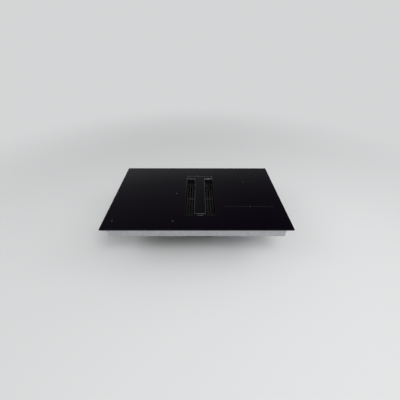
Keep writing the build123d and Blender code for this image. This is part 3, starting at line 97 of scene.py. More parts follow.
SMOOTH_ANGLE = radians(35)  # edges sharper than this stay creases
EASE_ANGLE = radians(40)  # edges sharper than this are eased
FLAT_ANGLE = radians(0.1)
MERGE = 1e-6
POLE_MERGE = 1e-7
LEVEL = 0.99  # a face whose normal has a steeper Z than this is level
SEEN_FROM_ABOVE = 0.3  # a face whose normal has a steeper Z than this shows from above
CORNERS = ("front_left", "front_right", "rear_left", "rear_right")
GLASS_TOP = 0.2095  # just under the surface of the glass
VENT_X = 0.015  # centre of the vent
BAR_HALF = 0.069  # half of the crossbar, short of its end faces

Colour = tuple[float, float, float]
Pair = tuple[float, float]
Point = tuple[float, float, float]
Socket = bpy.types.NodeSocket

log = logging.getLogger("cooktop")


class Slot(Enum):
    """The record's material slots."""

    GLASS = "cooktop_glass"
    DARK_METAL = "dark_metal"
    BLACK_PLASTIC = "black_plastic"
    HOUSING = "housing_plastic"
    TRAY = "tray_plastic"
    STEEL = "steel"
    ZINC = "zinc_sheet"
    SCREW = "screw_steel"
    ALUMINIUM = "aluminium"
    RUBBER = "seal_rubber"
    COPPER = "copper"
    NATURAL = "natural_plastic"
    FERRITE = "ferrite"
    SENSOR = "sensor"
    FIBRE = "fibre"
    BOARD = "board"
    PARTS = "parts_black"


class Body(Enum):
    """The CAD bodies that the pieces ride on."""

    CHASSIS = "chassis"
    TRAY = "spill_tray"
    FILTER = "grease_filter"
    GRILLE = "grille"
    COVER = "cover"
    DAMPER = "damper"
    CLAMP_FRONT_LEFT = "clamp_front_left"
    CLAMP_FRONT_RIGHT = "clamp_front_right"
    CLAMP_REAR_LEFT = "clamp_rear_left"
    CLAMP_REAR_RIGHT = "clamp_rear_right"


# Finishes ------------------------------------------------------------------------------------------

class Sheet:
    """The nodes of one material, added and joined with short calls."""

    def __init__(self, name: str) -> None:
        """Starts a material that has only its Principled shader."""
        self.material = bpy.data.materials.new(name)
        self.material.use_nodes = True
        self.tree = self.material.node_tree
        self.shader = self.tree.nodes["Principled BSDF"]

    def node(self, kind: str, **settings: object) -> bpy.types.Node:
        """Adds a node.

        Args:
            kind: The node's type, without its ShaderNode prefix.
            settings: Properties of the node.

        Returns:
            The new node.
        """
        made = self.tree.nodes.new("ShaderNode" + kind)
        for key, value in settings.items():
            setattr(made, key, value)
        return made

    def join(self, source: Socket, target: Socket) -> None:
        """Links one socket to another."""
        self.tree.links.new(source, target)

    def coords(self, scale: Point = (1, 1, 1), turn: Point = (0, 0, 0)) -> Socket:
        """Object coordinates, stretched and turned.

        Args:
            scale: Factor along each axis.
            turn: Rotation about each axis, in degrees.

        Returns:
            The vector socket.
        """
        source = self.node("TexCoord")
        mapping = self.node("Mapping")
        mapping.inputs["Scale"].default_value = scale
        mapping.inputs["Rotation"].default_value = [radians(angle) for angle in turn]
        self.join(source.outputs["Object"], mapping.inputs["Vector"])
        return mapping.outputs["Vector"]

    def noise(self, scale: float, detail: float = 3.0, vector: Socket | None = None) -> Socket:
        """A soft noise between about 0.3 and 0.7.

        Args:
            scale: Blotches per metre.
            detail: Number of finer layers.
            vector: Where the pattern is read; Object coordinates when left out.

        Returns:
            The factor socket.
        """
        made = self.node("TexNoise")
        made.inputs["Scale"].default_value = scale
        made.inputs["Detail"].default_value = detail
        self.join(vector or self.coords(), made.inputs["Vector"])
        return made.outputs["Fac"]

    def cells(self, scale: float, vector: Socket | None = None) -> bpy.types.Node:
        """A pattern of round cells.

        Args:
            scale: Cells per metre.
            vector: Where the pattern is read; Object coordinates when left out.

        Returns:
            The Voronoi node.
        """
        made = self.node("TexVoronoi", feature="F1")
        made.inputs["Scale"].default_value = scale
        self.join(vector or self.coords(), made.inputs["Vector"])
        return made

    def waves(self, scale: float, distortion: float) -> Socket:
        """Parallel sine bands at a slant.

        Args:
            scale: Bands per metre, divided by about two.
            distortion: How far the bands wander.

        Returns:
            The factor socket.
        """
        made = self.node("TexWave", bands_direction="DIAGONAL")
        made.inputs["Scale"].default_value = scale
        made.inputs["Distortion"].default_value = distortion
        self.join(self.coords(), made.inputs["Vector"])
        return made.outputs["Fac"]

    def spread(self, value: Socket, low: float, high: float, span: Pair = (0.3, 0.7)) -> Socket:
        """Maps a factor to a range.

        Args:
            value: The factor.
            low: Result at the start of the span.
            high: Result at its end.
            span: Part of the factor's range that is used.

        Returns:
            The mapped socket.
        """
        made = self.node("MapRange", clamp=True)
        for name, number in zip(("From Min", "From Max", "To Min", "To Max"), (*span, low, high)):
            made.inputs[name].default_value = number
        self.join(value, made.inputs["Value"])
        return made.outputs["Result"]

    def blend(self, factor: Socket, first: Colour, second: Colour) -> Socket:
        """Mixes two colours.

        Args:
            factor: 0 for the first colour and 1 for the second.
            first: Linear colour.
            second: Linear colour.

        Returns:
            The colour socket.
        """
        ramp = self.node("ValToRGB")
        ramp.color_ramp.elements[0].color = (*first, 1)
        ramp.color_ramp.elements[1].color = (*second, 1)
        self.join(factor, ramp.inputs["Fac"])
        return ramp.outputs["Color"]

    def add(self, first: Socket, second: Socket, share: float) -> Socket:
        """The first value plus a share of the second."""
        made = self.node("Math", operation="MULTIPLY_ADD")
        made.inputs[1].default_value = share
        self.join(second, made.inputs[0])
        self.join(first, made.inputs[2])
        return made.outputs["Value"]

    def relief(self, height: Socket, depth_mm: float, strength: float = 1.0) -> None:
        """Gives the surface a bump.

        Args:
            height: The height factor.
            depth_mm: Height of the relief at a factor of 1.
            strength: Share of it that shows.
        """
        bump = self.node("Bump")
        bump.inputs["Strength"].default_value = strength
        bump.inputs["Distance"].default_value = depth_mm * MM
        self.join(height, bump.inputs["Height"])
        self.join(bump.outputs["Normal"], self.shader.inputs["Normal"])

    def feed(self, name: str, source: Socket) -> None:
        """Joins a pattern to one of the shader's inputs."""
        self.join(source, self.shader.inputs[name])


@dataclass(frozen=True)
class Finish:
    """A surface finish: its plain values, and a pattern that subclasses add."""

    name: str
    slot: Slot
    colour: Colour
    roughness: float
    metallic: float = 0.0
    specular: float = 0.5

    def material(self) -> bpy.types.Material:
        """The finish as a material, made once."""
        known = bpy.data.materials.get(self.name)
        if known:
            return known
        sheet = Sheet(self.name)
        shader = sheet.shader.inputs
        shader["Base Color"].default_value = (*self.colour, 1)
        shader["Roughness"].default_value = self.roughness
        shader["Metallic"].default_value = self.metallic
        shader["Specular IOR Level"].default_value = self.specular
        self.pattern(sheet)
        return sheet.material

    def shade(self, factor: float) -> Colour:
        """The base colour times a factor."""
        return tuple(min(1.0, part * factor) for part in self.colour)

    def tint(self, sheet: Sheet, factor: Socket, shades: Pair, span: Pair = (0.3, 0.7)) -> None:
        """Varies the colour between two shades.

        Args:
            sheet: The material's nodes.
            factor: The pattern.
            shades: Factors of the base colour where the pattern is low and high.
            span: Part of the pattern's range that is used.
        """
        low, high = (self.shade(shade) for shade in shades)
        sheet.feed("Base Color", sheet.blend(sheet.spread(factor, 0, 1, span), low, high))

    def gloss(self, sheet: Sheet, factor: Socket, shares: Pair, span: Pair = (0.3, 0.7)) -> None:
        """Varies the roughness between two shares of its plain value.

        Args:
            sheet: The material's nodes.
            factor: The pattern.
            shares: Factors of the roughness where the pattern is low and high.
            span: Part of the pattern's range that is used.
        """
        low, high = (self.roughness * share for share in shares)
        sheet.feed("Roughness", sheet.spread(factor, low, high, span))

    def pattern(self, sheet: Sheet) -> None:
        """Adds the detail of the surface. Subclasses give each its own."""


@dataclass(frozen=True)
class PolishedGlass(Finish):
    """Black glass-ceramic: a mirror finish with the faintest haze from wiping."""

    haze: float = 0.05

    def pattern(self, sheet: Sheet) -> None:
        """Varies the gloss in broad wiped strokes and the black in slow clouds."""
        strokes = sheet.noise(9, 3, sheet.coords((1, 3.5, 1), (0, 0, 24)))
        sheet.feed("Roughness", sheet.spread(strokes, self.roughness, self.roughness + self.haze))
        self.tint(sheet, sheet.noise(5, 2), (0.85, 1.2))


@dataclass(frozen=True)
class EnamelPrint(Finish):
    """Ceramic ink fired on the glass: matt and slightly uneven."""

    def pattern(self, sheet: Sheet) -> None:
        """Speckles the ink as a fine screen print does."""
        grain = sheet.noise(4200, 2)
        self.tint(sheet, grain, (0.8, 1.15))
        sheet.relief(grain, 0.01)


@dataclass(frozen=True)
class SatinCoat(Finish):
    """Satin black coating on metal, with a fine even grain."""

    grain_mm: float = 0.7
    depth_mm: float = 0.012

    def pattern(self, sheet: Sheet) -> None:
        """Adds the grain of the coating and a slow change of its sheen."""
        grain = sheet.noise(1 / (self.grain_mm * MM), 2)
        self.gloss(sheet, sheet.noise(14, 3), (0.88, 1.14))
        self.tint(sheet, grain, (0.8, 1.2))
        sheet.relief(grain, self.depth_mm)


@dataclass(frozen=True)
class GlossEnamel(Finish):
    """Glossy black enamel on cast bars, with a slight orange peel."""

    haze: float = 0.1

    def pattern(self, sheet: Sheet) -> None:
        """Adds the orange peel and small changes of gloss."""
        peel = sheet.noise(260, 2)
        dull = self.roughness + self.haze
        sheet.feed("Roughness", sheet.spread(sheet.noise(55, 3), self.roughness, dull))
        self.tint(sheet, peel, (0.85, 1.2))
        sheet.relief(peel, 0.03)


@dataclass(frozen=True)
class BrushedMetal(Finish):
    """Stainless steel or aluminium with a brushed or rolled grain along one axis."""

    along: Point = (900, 14, 900)

    def pattern(self, sheet: Sheet) -> None:
        """Draws fine lines along the grain, which change both gloss and colour."""
        lines = sheet.noise(1, 4, sheet.coords(self.along))
        patches = sheet.noise(18, 3)
        mixed = sheet.add(lines, patches, 0.35)
        self.gloss(sheet, mixed, (0.8, 1.3), (0.4, 0.9))
        self.tint(sheet, mixed, (0.84, 1.08), (0.4, 0.9))
        sheet.relief(lines, 0.01)


@dataclass(frozen=True)
class SpangledZinc(Finish):
    """Hot-dip zinc on sheet steel: flat crystals of slightly different grey."""

    crystal_mm: float = 11.0
    raggedness: float = 0.012
    jags: float = 160  # per metre of a crystal's edge

    def pattern(self, sheet: Sheet) -> None:
        """Lays crystals with ragged edges and the frost inside them."""
        warp = sheet.node("Mix", data_type="VECTOR")
        warp.inputs["Factor"].default_value = self.raggedness
        jitter = sheet.node("TexNoise")
        jitter.inputs["Scale"].default_value = self.jags
        sheet.join(sheet.coords(), jitter.inputs["Vector"])
        sheet.join(sheet.coords(), warp.inputs["A"])
        sheet.join(jitter.outputs["Color"], warp.inputs["B"])
        crystals = sheet.cells(1 / (self.crystal_mm * MM), warp.outputs["Result"])
        grey = sheet.node("SeparateColor")
        sheet.join(crystals.outputs["Color"], grey.inputs["Color"])
        frost = sheet.noise(700, 3)
        mixed = sheet.add(grey.outputs["Red"], frost, 0.5)
        self.tint(sheet, mixed, (0.86, 1.1), (0.1, 1.3))
        self.gloss(sheet, mixed, (0.82, 1.25), (0.1, 1.3))
        sheet.relief(frost, 0.006)


@dataclass(frozen=True)
class PlatedSteel(Finish):
    """Bright zinc plating on screws, nuts and pressed arms, with a faint yellow cast."""

    def pattern(self, sheet: Sheet) -> None:
        """Lets the plating turn from blue-grey to straw and adds fine pits."""
        stain = sheet.noise(130, 4)
        straw = (self.colour[0], self.colour[1] * 0.95, self.colour[2] * 0.8)
        sheet.feed("Base Color", sheet.blend(sheet.spread(stain, 0, 1), self.shade(0.9), straw))
        self.gloss(sheet, stain, (0.8, 1.3))
        sheet.relief(sheet.noise(2600, 2), 0.008)


@dataclass(frozen=True)
class MouldedPlastic(Finish):
    """Injection-moulded plastic with a spark-eroded grain."""

    grain_mm: float = 0.9
    depth_mm: float = 0.05

    def pattern(self, sheet: Sheet) -> None:
        """Adds the grain, flow clouds in the colour and rubbed patches in the gloss."""
        grain = sheet.noise(1 / (self.grain_mm * MM), 3)
        flow = sheet.noise(11, 4, sheet.coords((1, 1, 0.4), (0, 18, 30)))
        self.tint(sheet, sheet.add(flow, grain, 0.4), (0.84, 1.16), (0.45, 0.95))
        self.gloss(sheet, flow, (0.85, 1.12))
        sheet.relief(grain, self.depth_mm, 0.7)


@dataclass(frozen=True)
class SoftRubber(Finish):
    """Foam tape, silicone or cable sheath: matt, with fine pores and a dusty bloom."""

    pore_mm: float = 0.5

    def pattern(self, sheet: Sheet) -> None:
        """Adds the pores and the bloom."""
        pores = sheet.cells(1 / (self.pore_mm * MM)).outputs["Distance"]
        bloom = sheet.noise(60, 4)
        self.tint(sheet, bloom, (1.0, 1.5))
        self.gloss(sheet, bloom, (0.9, 1.1))
        sheet.relief(pores, 0.04, 0.6)


@dataclass(frozen=True)
class StrandedCopper(Finish):
    """Enamelled strands twisted into one wire, which shows as slanted ribs."""

    strand_mm: float = 1.1

    def pattern(self, sheet: Sheet) -> None:
        """Runs the strands across the turns at a slant, with painted shade darkening the grooves."""
        strands = sheet.waves(pi / (self.strand_mm * MM * 10), 1.5)
        # the dark end of the tint is painted shade in the grooves between the strands
        self.tint(sheet, sheet.add(strands, sheet.noise(90, 3), 0.4), (0.45, 1.15), (0.1, 1.2))
        sheet.relief(strands, 0.35, 0.8)


@dataclass(frozen=True)
class FibreMat(Finish):
    """Pressed mineral fibre with loose crossing strands."""

    def pattern(self, sheet: Sheet) -> None:
        """Crosses two sets of long thin fibres."""
        first = sheet.noise(1, 4, sheet.coords((1500, 90, 400), (0, 0, 35)))
        second = sheet.noise(1, 4, sheet.coords((90, 1500, 400), (0, 0, 20)))
        both = sheet.add(first, second, 1.0)
        self.tint(sheet, both, (0.78, 1.06), (0.7, 1.3))
        sheet.relief(both, 0.15)


@dataclass(frozen=True)
class SolderMask(Finish):
    """Green board with tracks under the mask."""

    track: Pair = (0.031, 0.0021)
    gap: float = 0.0004

    def pattern(self, sheet: Sheet) -> None:
        """Lays rows of long tracks, parted by thin lines that are darker and a little proud."""
        bricks = sheet.node(
            "TexBrick", offset=0.37, offset_frequency=3, squash=0.45, squash_frequency=3)
        length, width = self.track
        for name, number in (("Scale", 1), ("Mortar Size", self.gap), ("Brick Width", length),
                             ("Row Height", width), ("Bias", -0.2)):
            bricks.inputs[name].default_value = number
        for name, shade in (("Color1", 1.0), ("Color2", 1.12), ("Mortar", 0.85)):
            bricks.inputs[name].default_value = (*self.shade(shade), 1)
        sheet.join(sheet.coords(), bricks.inputs["Vector"])
        sheet.feed("Base Color", bricks.outputs["Color"])
        sheet.relief(bricks.outputs["Fac"], 0.03)


@dataclass(frozen=True)
class Sintered(Finish):
    """Pressed and fired ceramic or ferrite, with pores and a cloudy surface."""

    def pattern(self, sheet: Sheet) -> None:
        """Adds pores and a cloudy surface."""
        self.tint(sheet, sheet.noise(120, 4), (0.85, 1.2))
        sheet.relief(sheet.noise(1700, 4), 0.03)


GLASS = PolishedGlass("glass_black", Slot.GLASS, (0.0014, 0.0005, 0.0027), 0.03, haze=0.03)
INLAY = PolishedGlass("glass_inlay", Slot.GLASS, (0.0018, 0.0012, 0.003), 0.06, haze=0.04)
PRINT = EnamelPrint("print_grey", Slot.GLASS, (0.07, 0.068, 0.075), 0.6, specular=0.2)
COATED = SatinCoat("coat_black", Slot.DARK_METAL, (0.005, 0.005, 0.0052), 0.18)
# a lighter copy of the black coat for raised sides and eased edges: painted highlight
EDGE_HIGHLIGHT = SatinCoat("coat_edges_painted_highlight", Slot.DARK_METAL, (0.15, 0.15, 0.156), 0.36, 0.5)
ENAMEL = GlossEnamel("enamel_black", Slot.BLACK_PLASTIC, (0.006, 0.006, 0.0065), 0.16)
# a lighter, metallic copy of the black enamel for the bar tops: painted highlight
BAR_TOP_HIGHLIGHT = GlossEnamel("enamel_tops_painted_highlight", Slot.BLACK_PLASTIC, (0.17, 0.17, 0.174), 0.17, 0.85)
GLOSS_BLACK = MouldedPlastic(
    "plastic_black", Slot.BLACK_PLASTIC, (0.018, 0.018, 0.019), 0.34, grain_mm=1.4, depth_mm=0.02)
HOUSING = MouldedPlastic("plastic_housing", Slot.HOUSING, (0.045, 0.046, 0.049), 0.5)
CUP = MouldedPlastic(
    "plastic_cup", Slot.TRAY, (0.11, 0.11, 0.115), 0.42, grain_mm=1.6, depth_mm=0.02)
NATURAL = MouldedPlastic("plastic_natural", Slot.NATURAL, (0.62, 0.59, 0.5), 0.5)
# steel darkened far below bare stainless: painted shade of the well round the filter
SHADED_STEEL = BrushedMetal("steel_brushed_painted_shade", Slot.STEEL, (0.05, 0.05, 0.053), 0.3, 1.0)
MILLED = BrushedMetal(
    "aluminium_rolled", Slot.ALUMINIUM, (0.72, 0.73, 0.74), 0.36, 1.0, along=(700, 11, 700))
ZINC = SpangledZinc("zinc_spangled", Slot.ZINC, (0.5, 0.515, 0.53), 0.4, 0.9)
CORE = SpangledZinc("zinc_fine", Slot.ZINC, (0.46, 0.47, 0.48), 0.45, 0.9, crystal_mm=3.0)
PLATED = PlatedSteel("steel_plated", Slot.SCREW, (0.6, 0.6, 0.56), 0.3, 1.0)
FOAM = SoftRubber("foam_black", Slot.RUBBER, (0.018, 0.018, 0.018), 0.85)
SILICONE = SoftRubber("silicone_grey", Slot.RUBBER, (0.05, 0.05, 0.052), 0.6, pore_mm=0.25)
SHEATH = SoftRubber("sheath_black", Slot.RUBBER, (0.015, 0.015, 0.016), 0.48, pore_mm=0.35)
COPPER = StrandedCopper("copper_strand", Slot.COPPER, (0.62, 0.26, 0.12), 0.32, 0.9)
FERRITE = Sintered("ferrite_grey", Slot.FERRITE, (0.05, 0.05, 0.055), 0.62)
CERAMIC = Sintered("ceramic_white", Slot.SENSOR, (0.74, 0.73, 0.69), 0.5)
FIBRE = FibreMat("fibre_mat", Slot.FIBRE, (0.72, 0.71, 0.66), 0.9)
MASK = SolderMask("board_green", Slot.BOARD, (0.02, 0.13, 0.055), 0.36)
SLEEVES = MouldedPlastic(
    "sleeves_black", Slot.PARTS, (0.03, 0.03, 0.036), 0.4, grain_mm=2.0, depth_mm=0.01)


# Mesh helpers --------------------------------------------------------------------------------------

def turned(mesh: bmesh.types.BMesh, profile: Sequence[Pair], steps: int) -> None:
    """Spins a closed outline round the Z axis.

    Args:
        mesh: Receives the shape. It holds nothing else yet.
        profile: Points (radius, height) in order round the outline, in metres. Radius 0 is a pole.
        steps: Sides of the turned shape.
    """
    points = [mesh.verts.new((radius, 0, height)) for radius, height in profile]
    pairs = zip(points, points[1:] + points[:1])
    edges = [mesh.edges.new(pair) for pair in pairs if pair[0].co.x > 0 or pair[1].co.x > 0]
    bmesh.ops.spin(
        mesh, geom=points + edges, cent=(0, 0, 0), axis=(0, 0, 1), angle=2 * pi, steps=steps,
        use_merge=True)
    bmesh.ops.remove_doubles(mesh, verts=mesh.verts[:], dist=POLE_MERGE)


def make_piece(
    name: str,
    mesh: bmesh.types.BMesh,
    finish: Finish,
    body: Body,
    replaces: Sequence[str] = (),
    edge_finish: Finish | None = None,
) -> bpy.types.Object:
    """Turns a bmesh into a finished piece that rides on a body.

    Args:
        name: Name of the piece.
        mesh: Its shape, in the frame of the CAD. It is freed here.
        finish: Its finish.
        body: The body that it moves with.
        replaces: CAD nodes that it stands for.
        edge_finish: Finish of the faces that have material number 1.

    Returns:
        The new object.
    """
    bmesh.ops.recalc_face_normals(mesh, faces=mesh.faces[:])
    data = bpy.data.meshes.new(name)
    mesh.to_mesh(data)
    mesh.free()
    data.shade_smooth()
    data.set_sharp_from_angle(angle=SMOOTH_ANGLE)
    for part in filter(None, (finish, edge_finish)):
        data.materials.append(part.material())
    piece = bpy.data.objects.new(name, data)
    bpy.context.scene.collection.objects.link(piece)
    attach(piece, body.value)
    if replaces:
        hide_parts(*replaces)
    log.info("%s: %d faces, on %s", name, len(data.polygons), body.value)
    return piece


def merged(node: str) -> bmesh.types.BMesh:
    """A copy of a node's mesh with its triangles joined and its flat areas made whole.

    Args:
        node: Name of the CAD node.

    Returns:
        The new bmesh.
    """
    mesh = bmesh.new()
    mesh.from_mesh(frame["nodes"][node].data)
    bmesh.ops.remove_doubles(mesh, verts=mesh.verts[:], dist=MERGE)
    bmesh.ops.dissolve_limit(mesh, angle_limit=FLAT_ANGLE, verts=mesh.verts[:], edges=mesh.edges[:])
    return mesh


def is_raised_side(face: bmesh.types.BMFace) -> bool:
    """True for a face above the glass that isn't level, but for those at the crossbar's far ends: the
    faces that take a painted highlight.
    """
    centre = face.calc_center_median()
    is_between = abs(centre.x - VENT_X) < BAR_HALF
    return abs(face.normal.z) < LEVEL and centre.z > GLASS_TOP and is_between


def looks_up(face: bmesh.types.BMFace) -> bool:
    """True for a face that is seen from above, curved edges included; on the grille these faces take a
    painted highlight.
    """
    return face.normal.z > SEEN_FROM_ABOVE


def eased(
    node: str,
    finish: Finish,
    width_mm: float,
    rim: Finish | None = None,
    is_rim: Callable[[bmesh.types.BMFace], bool] = is_raised_side,
) -> None:
    """Stands a copy with eased edges in the place of a node, so that its edges catch the light.

    Args:
        node: Name of the CAD node.
        finish: The copy's finish.
        width_mm: Width of the easing.
        rim: Second finish; on the vent it is a lighter copy of the first, a painted highlight.
        is_rim: Picks the faces that take the second finish and so the painted highlight.
    """
    mesh = merged(node)
    sharp = [edge for edge in mesh.edges
             if edge.is_manifold and edge.calc_face_angle() > EASE_ANGLE and edge.is_convex]
    bmesh.ops.bevel(
        mesh, geom=sharp, offset=width_mm * MM, offset_type="OFFSET", affect="EDGES", segments=2,
        profile=0.5, clamp_overlap=True, material=-1)
    bmesh.ops.remove_doubles(mesh, verts=mesh.verts[:], dist=MERGE)
    if rim:
        mesh.normal_update()
        for face in mesh.faces:
            face.material_index = int(is_rim(face))
    body = Body(frame["nodes"][node]["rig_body"])
    make_piece(f"{node}_eased", mesh, finish, body, [node], rim)


def dress(nodes: dict[str, Finish]) -> None:
    """Gives CAD nodes their finishes.

    Args:
        nodes: The finish of each node.
    """
    for name, finish in nodes.items():
        data = frame["nodes"][name].data
        data.materials.clear()
        data.materials.append(finish.material())
        log.info("%s: %s", name, finish.name)


# Sub-assemblies ------------------------------------------------------------------------------------
# Lengths are in metres, apart from the widths of easing, which are in millimetres.

@dataclass
class GlassTop:
    """Black glass with its printed zone marks, its seal and the adhesive under it."""

    surface: float = 0.210
    ink: float = 0.00003
    stroke: float = 0.0012
    arm: float = 0.005
    crosses: tuple[Pair, ...] = (
        (-0.375, -0.202), (-0.107, -0.205), (-0.104, -0.001), (0.255, 0.105), (0.254, -0.104))
    line_y: float = -0.104
    line_x: Pair = (0.130, 0.368)
    line_width: float = 0.0005
    line_break: float = 2.3  # arms of the cross, on either side of it

    def stroke_box(self, mesh: bmesh.types.BMesh, low: Pair, high: Pair) -> None:
        """Adds one printed stroke.

        Args:
            mesh: Receives the stroke.
            low: Its lowest corner in plan.
            high: Its highest corner in plan.
        """
        centre = ((low[0] + high[0]) / 2, (low[1] + high[1]) / 2, self.surface + self.ink / 2)
        size = Matrix.Diagonal((high[0] - low[0], high[1] - low[1], self.ink, 1))
        bmesh.ops.create_cube(mesh, size=1, matrix=Matrix.Translation(centre) @ size)

    def build(self) -> None:
        """Prints the marks and dresses the nodes."""
        mesh = bmesh.new()
        half = self.stroke / 2
        for x, y in self.crosses:
            self.stroke_box(mesh, (x - self.arm, y - half), (x + self.arm, y + half))
            for sign in (-1, 1):
                near, far = sorted((y + sign * half, y + sign * self.arm))
                self.stroke_box(mesh, (x - half, near), (x + half, far))
        gap = self.arm * self.line_break
        middle = self.crosses[-1][0]
        reach = self.line_width / 2
        for low, high in ((self.line_x[0], middle - gap), (middle + gap, self.line_x[1])):
            self.stroke_box(mesh, (low, self.line_y - reach), (high, self.line_y + reach))
        make_piece("zone_print", mesh, PRINT, Body.CHASSIS)
        dress({"glass_top": GLASS, "glass_seal": FOAM, "bond_bead": SILICONE})


@dataclass
class Vent:
    """Frame of the opening, crossbar, T-shaped cover and grille."""

    metal_ease: float = 0.5
    bar_ease: float = 0.3

    def build(self) -> None:
        """Eases the edges of the metal and dresses the rest."""
        eased("vent_frame", COATED, self.metal_ease)
        # the crossbar and the cover frame take a lighter copy of the coat on their raised sides:
        # painted highlight
        for node in ("bridge_plate", "cover_frame"):
            eased(node, COATED, self.metal_ease, EDGE_HIGHLIGHT)
        # the faces of the bars that look up take a lighter, metallic copy of the enamel: painted
        # highlight
        eased("grille", ENAMEL, self.bar_ease, BAR_TOP_HIGHLIGHT, looks_up)
        dress({"frame_gasket": SILICONE, "cover_glass": INLAY, "cover_pads": SILICONE})


@dataclass
class GreaseTrap:
    """Grease filter, spill tray and the well that they stand in."""

    steel_ease: float = 0.3
    moulded_ease: float = 0.5

    def build(self) -> None:
        """Eases the edges of the frame, tray and well, and dresses the rest."""
        # the filter's steel is darkened: painted shade of the well
        eased("filter_frame", SHADED_STEEL, self.steel_ease)
        eased("spill_tray", CUP, self.moulded_ease)
        eased("inlet_well", HOUSING, self.moulded_ease)
        dress({"filter_baffles": SHADED_STEEL, "filter_handle": SHADED_STEEL})


@dataclass
class HeatingDeck:
    """Sheet steel tray with the coils, the boards and the cooling fans."""

    sheet_ease: float = 0.3
    ferrite_ease: float = 0.6
    fin_ease: float = 0.2
    fan_ease: float = 0.5

    def build(self) -> None:
        """Eases the sheet steel and the fan frames, and dresses the rest."""
        eased("base_tray", ZINC, self.sheet_ease)
        eased("ferrite_bars", FERRITE, self.ferrite_ease)
        eased("heatsinks", MILLED, self.fin_ease)
        dress({
            "insulation_mats": FIBRE, "coil_formers": NATURAL, "coil_sensors": CERAMIC,
            "carrier_springs": PLATED, "power_parts": SLEEVES, "touch_board": MASK,
            "touch_holder": NATURAL})
        dress({f"winding_{corner}": COPPER for corner in CORNERS})
        for side in ("left", "right"):
            eased(f"fan_frame_{side}", GLOSS_BLACK, self.fan_ease)
            dress({
                f"carrier_{side}": MILLED, f"inverter_board_{side}": MASK,
                f"fan_rotor_{side}": GLOSS_BLACK})


@dataclass
class Extractor:
    """Centrifugal fan with its housing, duct, motor and outlet flap."""

    housing_ease: float = 0.8
    flap_ease: float = 0.4

    def build(self) -> None:
        """Eases the edges of the housing and the flap and dresses the rest."""
        for node in ("scroll_base", "scroll_cover", "plenum_duct", "outlet_spigot"):
            eased(node, HOUSING, self.housing_ease)
        eased("damper_flap", GLOSS_BLACK, self.flap_ease)
        dress({
            "impeller": GLOSS_BLACK, "motor_rotor": CORE, "motor_stator": CORE,
            "motor_cable": SHEATH})


@dataclass
class ServiceBoxes:
    """Control box of the extractor and mains terminal box, with the ribbed cable gland."""

    box_ease: float = 0.7
    sheet_ease: float = 0.3
    bore: float = 0.0055
    mouth: Pair = (0.0004, 0.0005)  # easing of the bore, across and along
    cap_length: float = 0.014  # of what stands outside the wall
    neck_step: float = 0.002  # from the outer radius in to the neck
    face_step: float = 0.003  # from the outer radius in to the end face
    cap: tuple[Pair, ...] = (  # inset from the outer radius, distance from the wall
        (0, 0), (0, 0.0022), (0.001, 0.0026), (0.001, 0.0036), (0.0002, 0.004), (0.0002, 0.0105),
        (0.0012, 0.0128))
    grip: Pair = (0.0038, 0.011)  # the ribbed stretch, as distances from the wall
    ribs: int = 18
    rib_share: float = 0.3  # a groove is where the sine of the turn is over this
    rib_depth: float = 0.0006

    def build(self) -> None:
        """Turns the gland and dresses the nodes."""
        self.gland()
        for node in ("control_box", "control_box_lid"):
            eased(node, HOUSING, self.box_ease)
        for node in ("terminal_box", "terminal_cover"):
            eased(node, ZINC, self.sheet_ease)
        dress({"control_board": MASK, "terminal_block": NATURAL})

    def gland(self) -> None:
        """Builds the gland: a flange against the wall, a ribbed nut and a rounded mouth."""
        low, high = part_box("cable_gland")
        axis_x, axis_z = (low.x + high.x) / 2, (low.z + high.z) / 2
        radius, length = (high.x - low.x) / 2, high.y - low.y
        neck, wall = radius - self.neck_step, length - self.cap_length
        across, along = self.mouth
        mesh = bmesh.new()
        turned(mesh, [
            (self.bore, 0), (neck, 0), (neck, wall),
            *((radius - inset, wall + reach) for inset, reach in self.cap),
            (radius - self.face_step, length), (self.bore + across, length),
            (self.bore, length - along)], 4 * self.ribs)
        for vert in mesh.verts:
            turn = Vector((1, 0)).angle_signed(vert.co.xy)
            is_grip = self.grip[0] < vert.co.z - wall < self.grip[1]
            if is_grip and sin(turn * self.ribs) > self.rib_share:
                vert.co.xy *= 1 - self.rib_depth / radius
        upright = Matrix.Rotation(-pi / 2, 3, "X")
        bmesh.ops.rotate(mesh, verts=mesh.verts[:], cent=(0, 0, 0), matrix=upright)
        bmesh.ops.translate(mesh, verts=mesh.verts[:], vec=(axis_x, low.y, axis_z))
        make_piece("gland_nut", mesh, GLOSS_BLACK, Body.CHASSIS, ["cable_gland"])


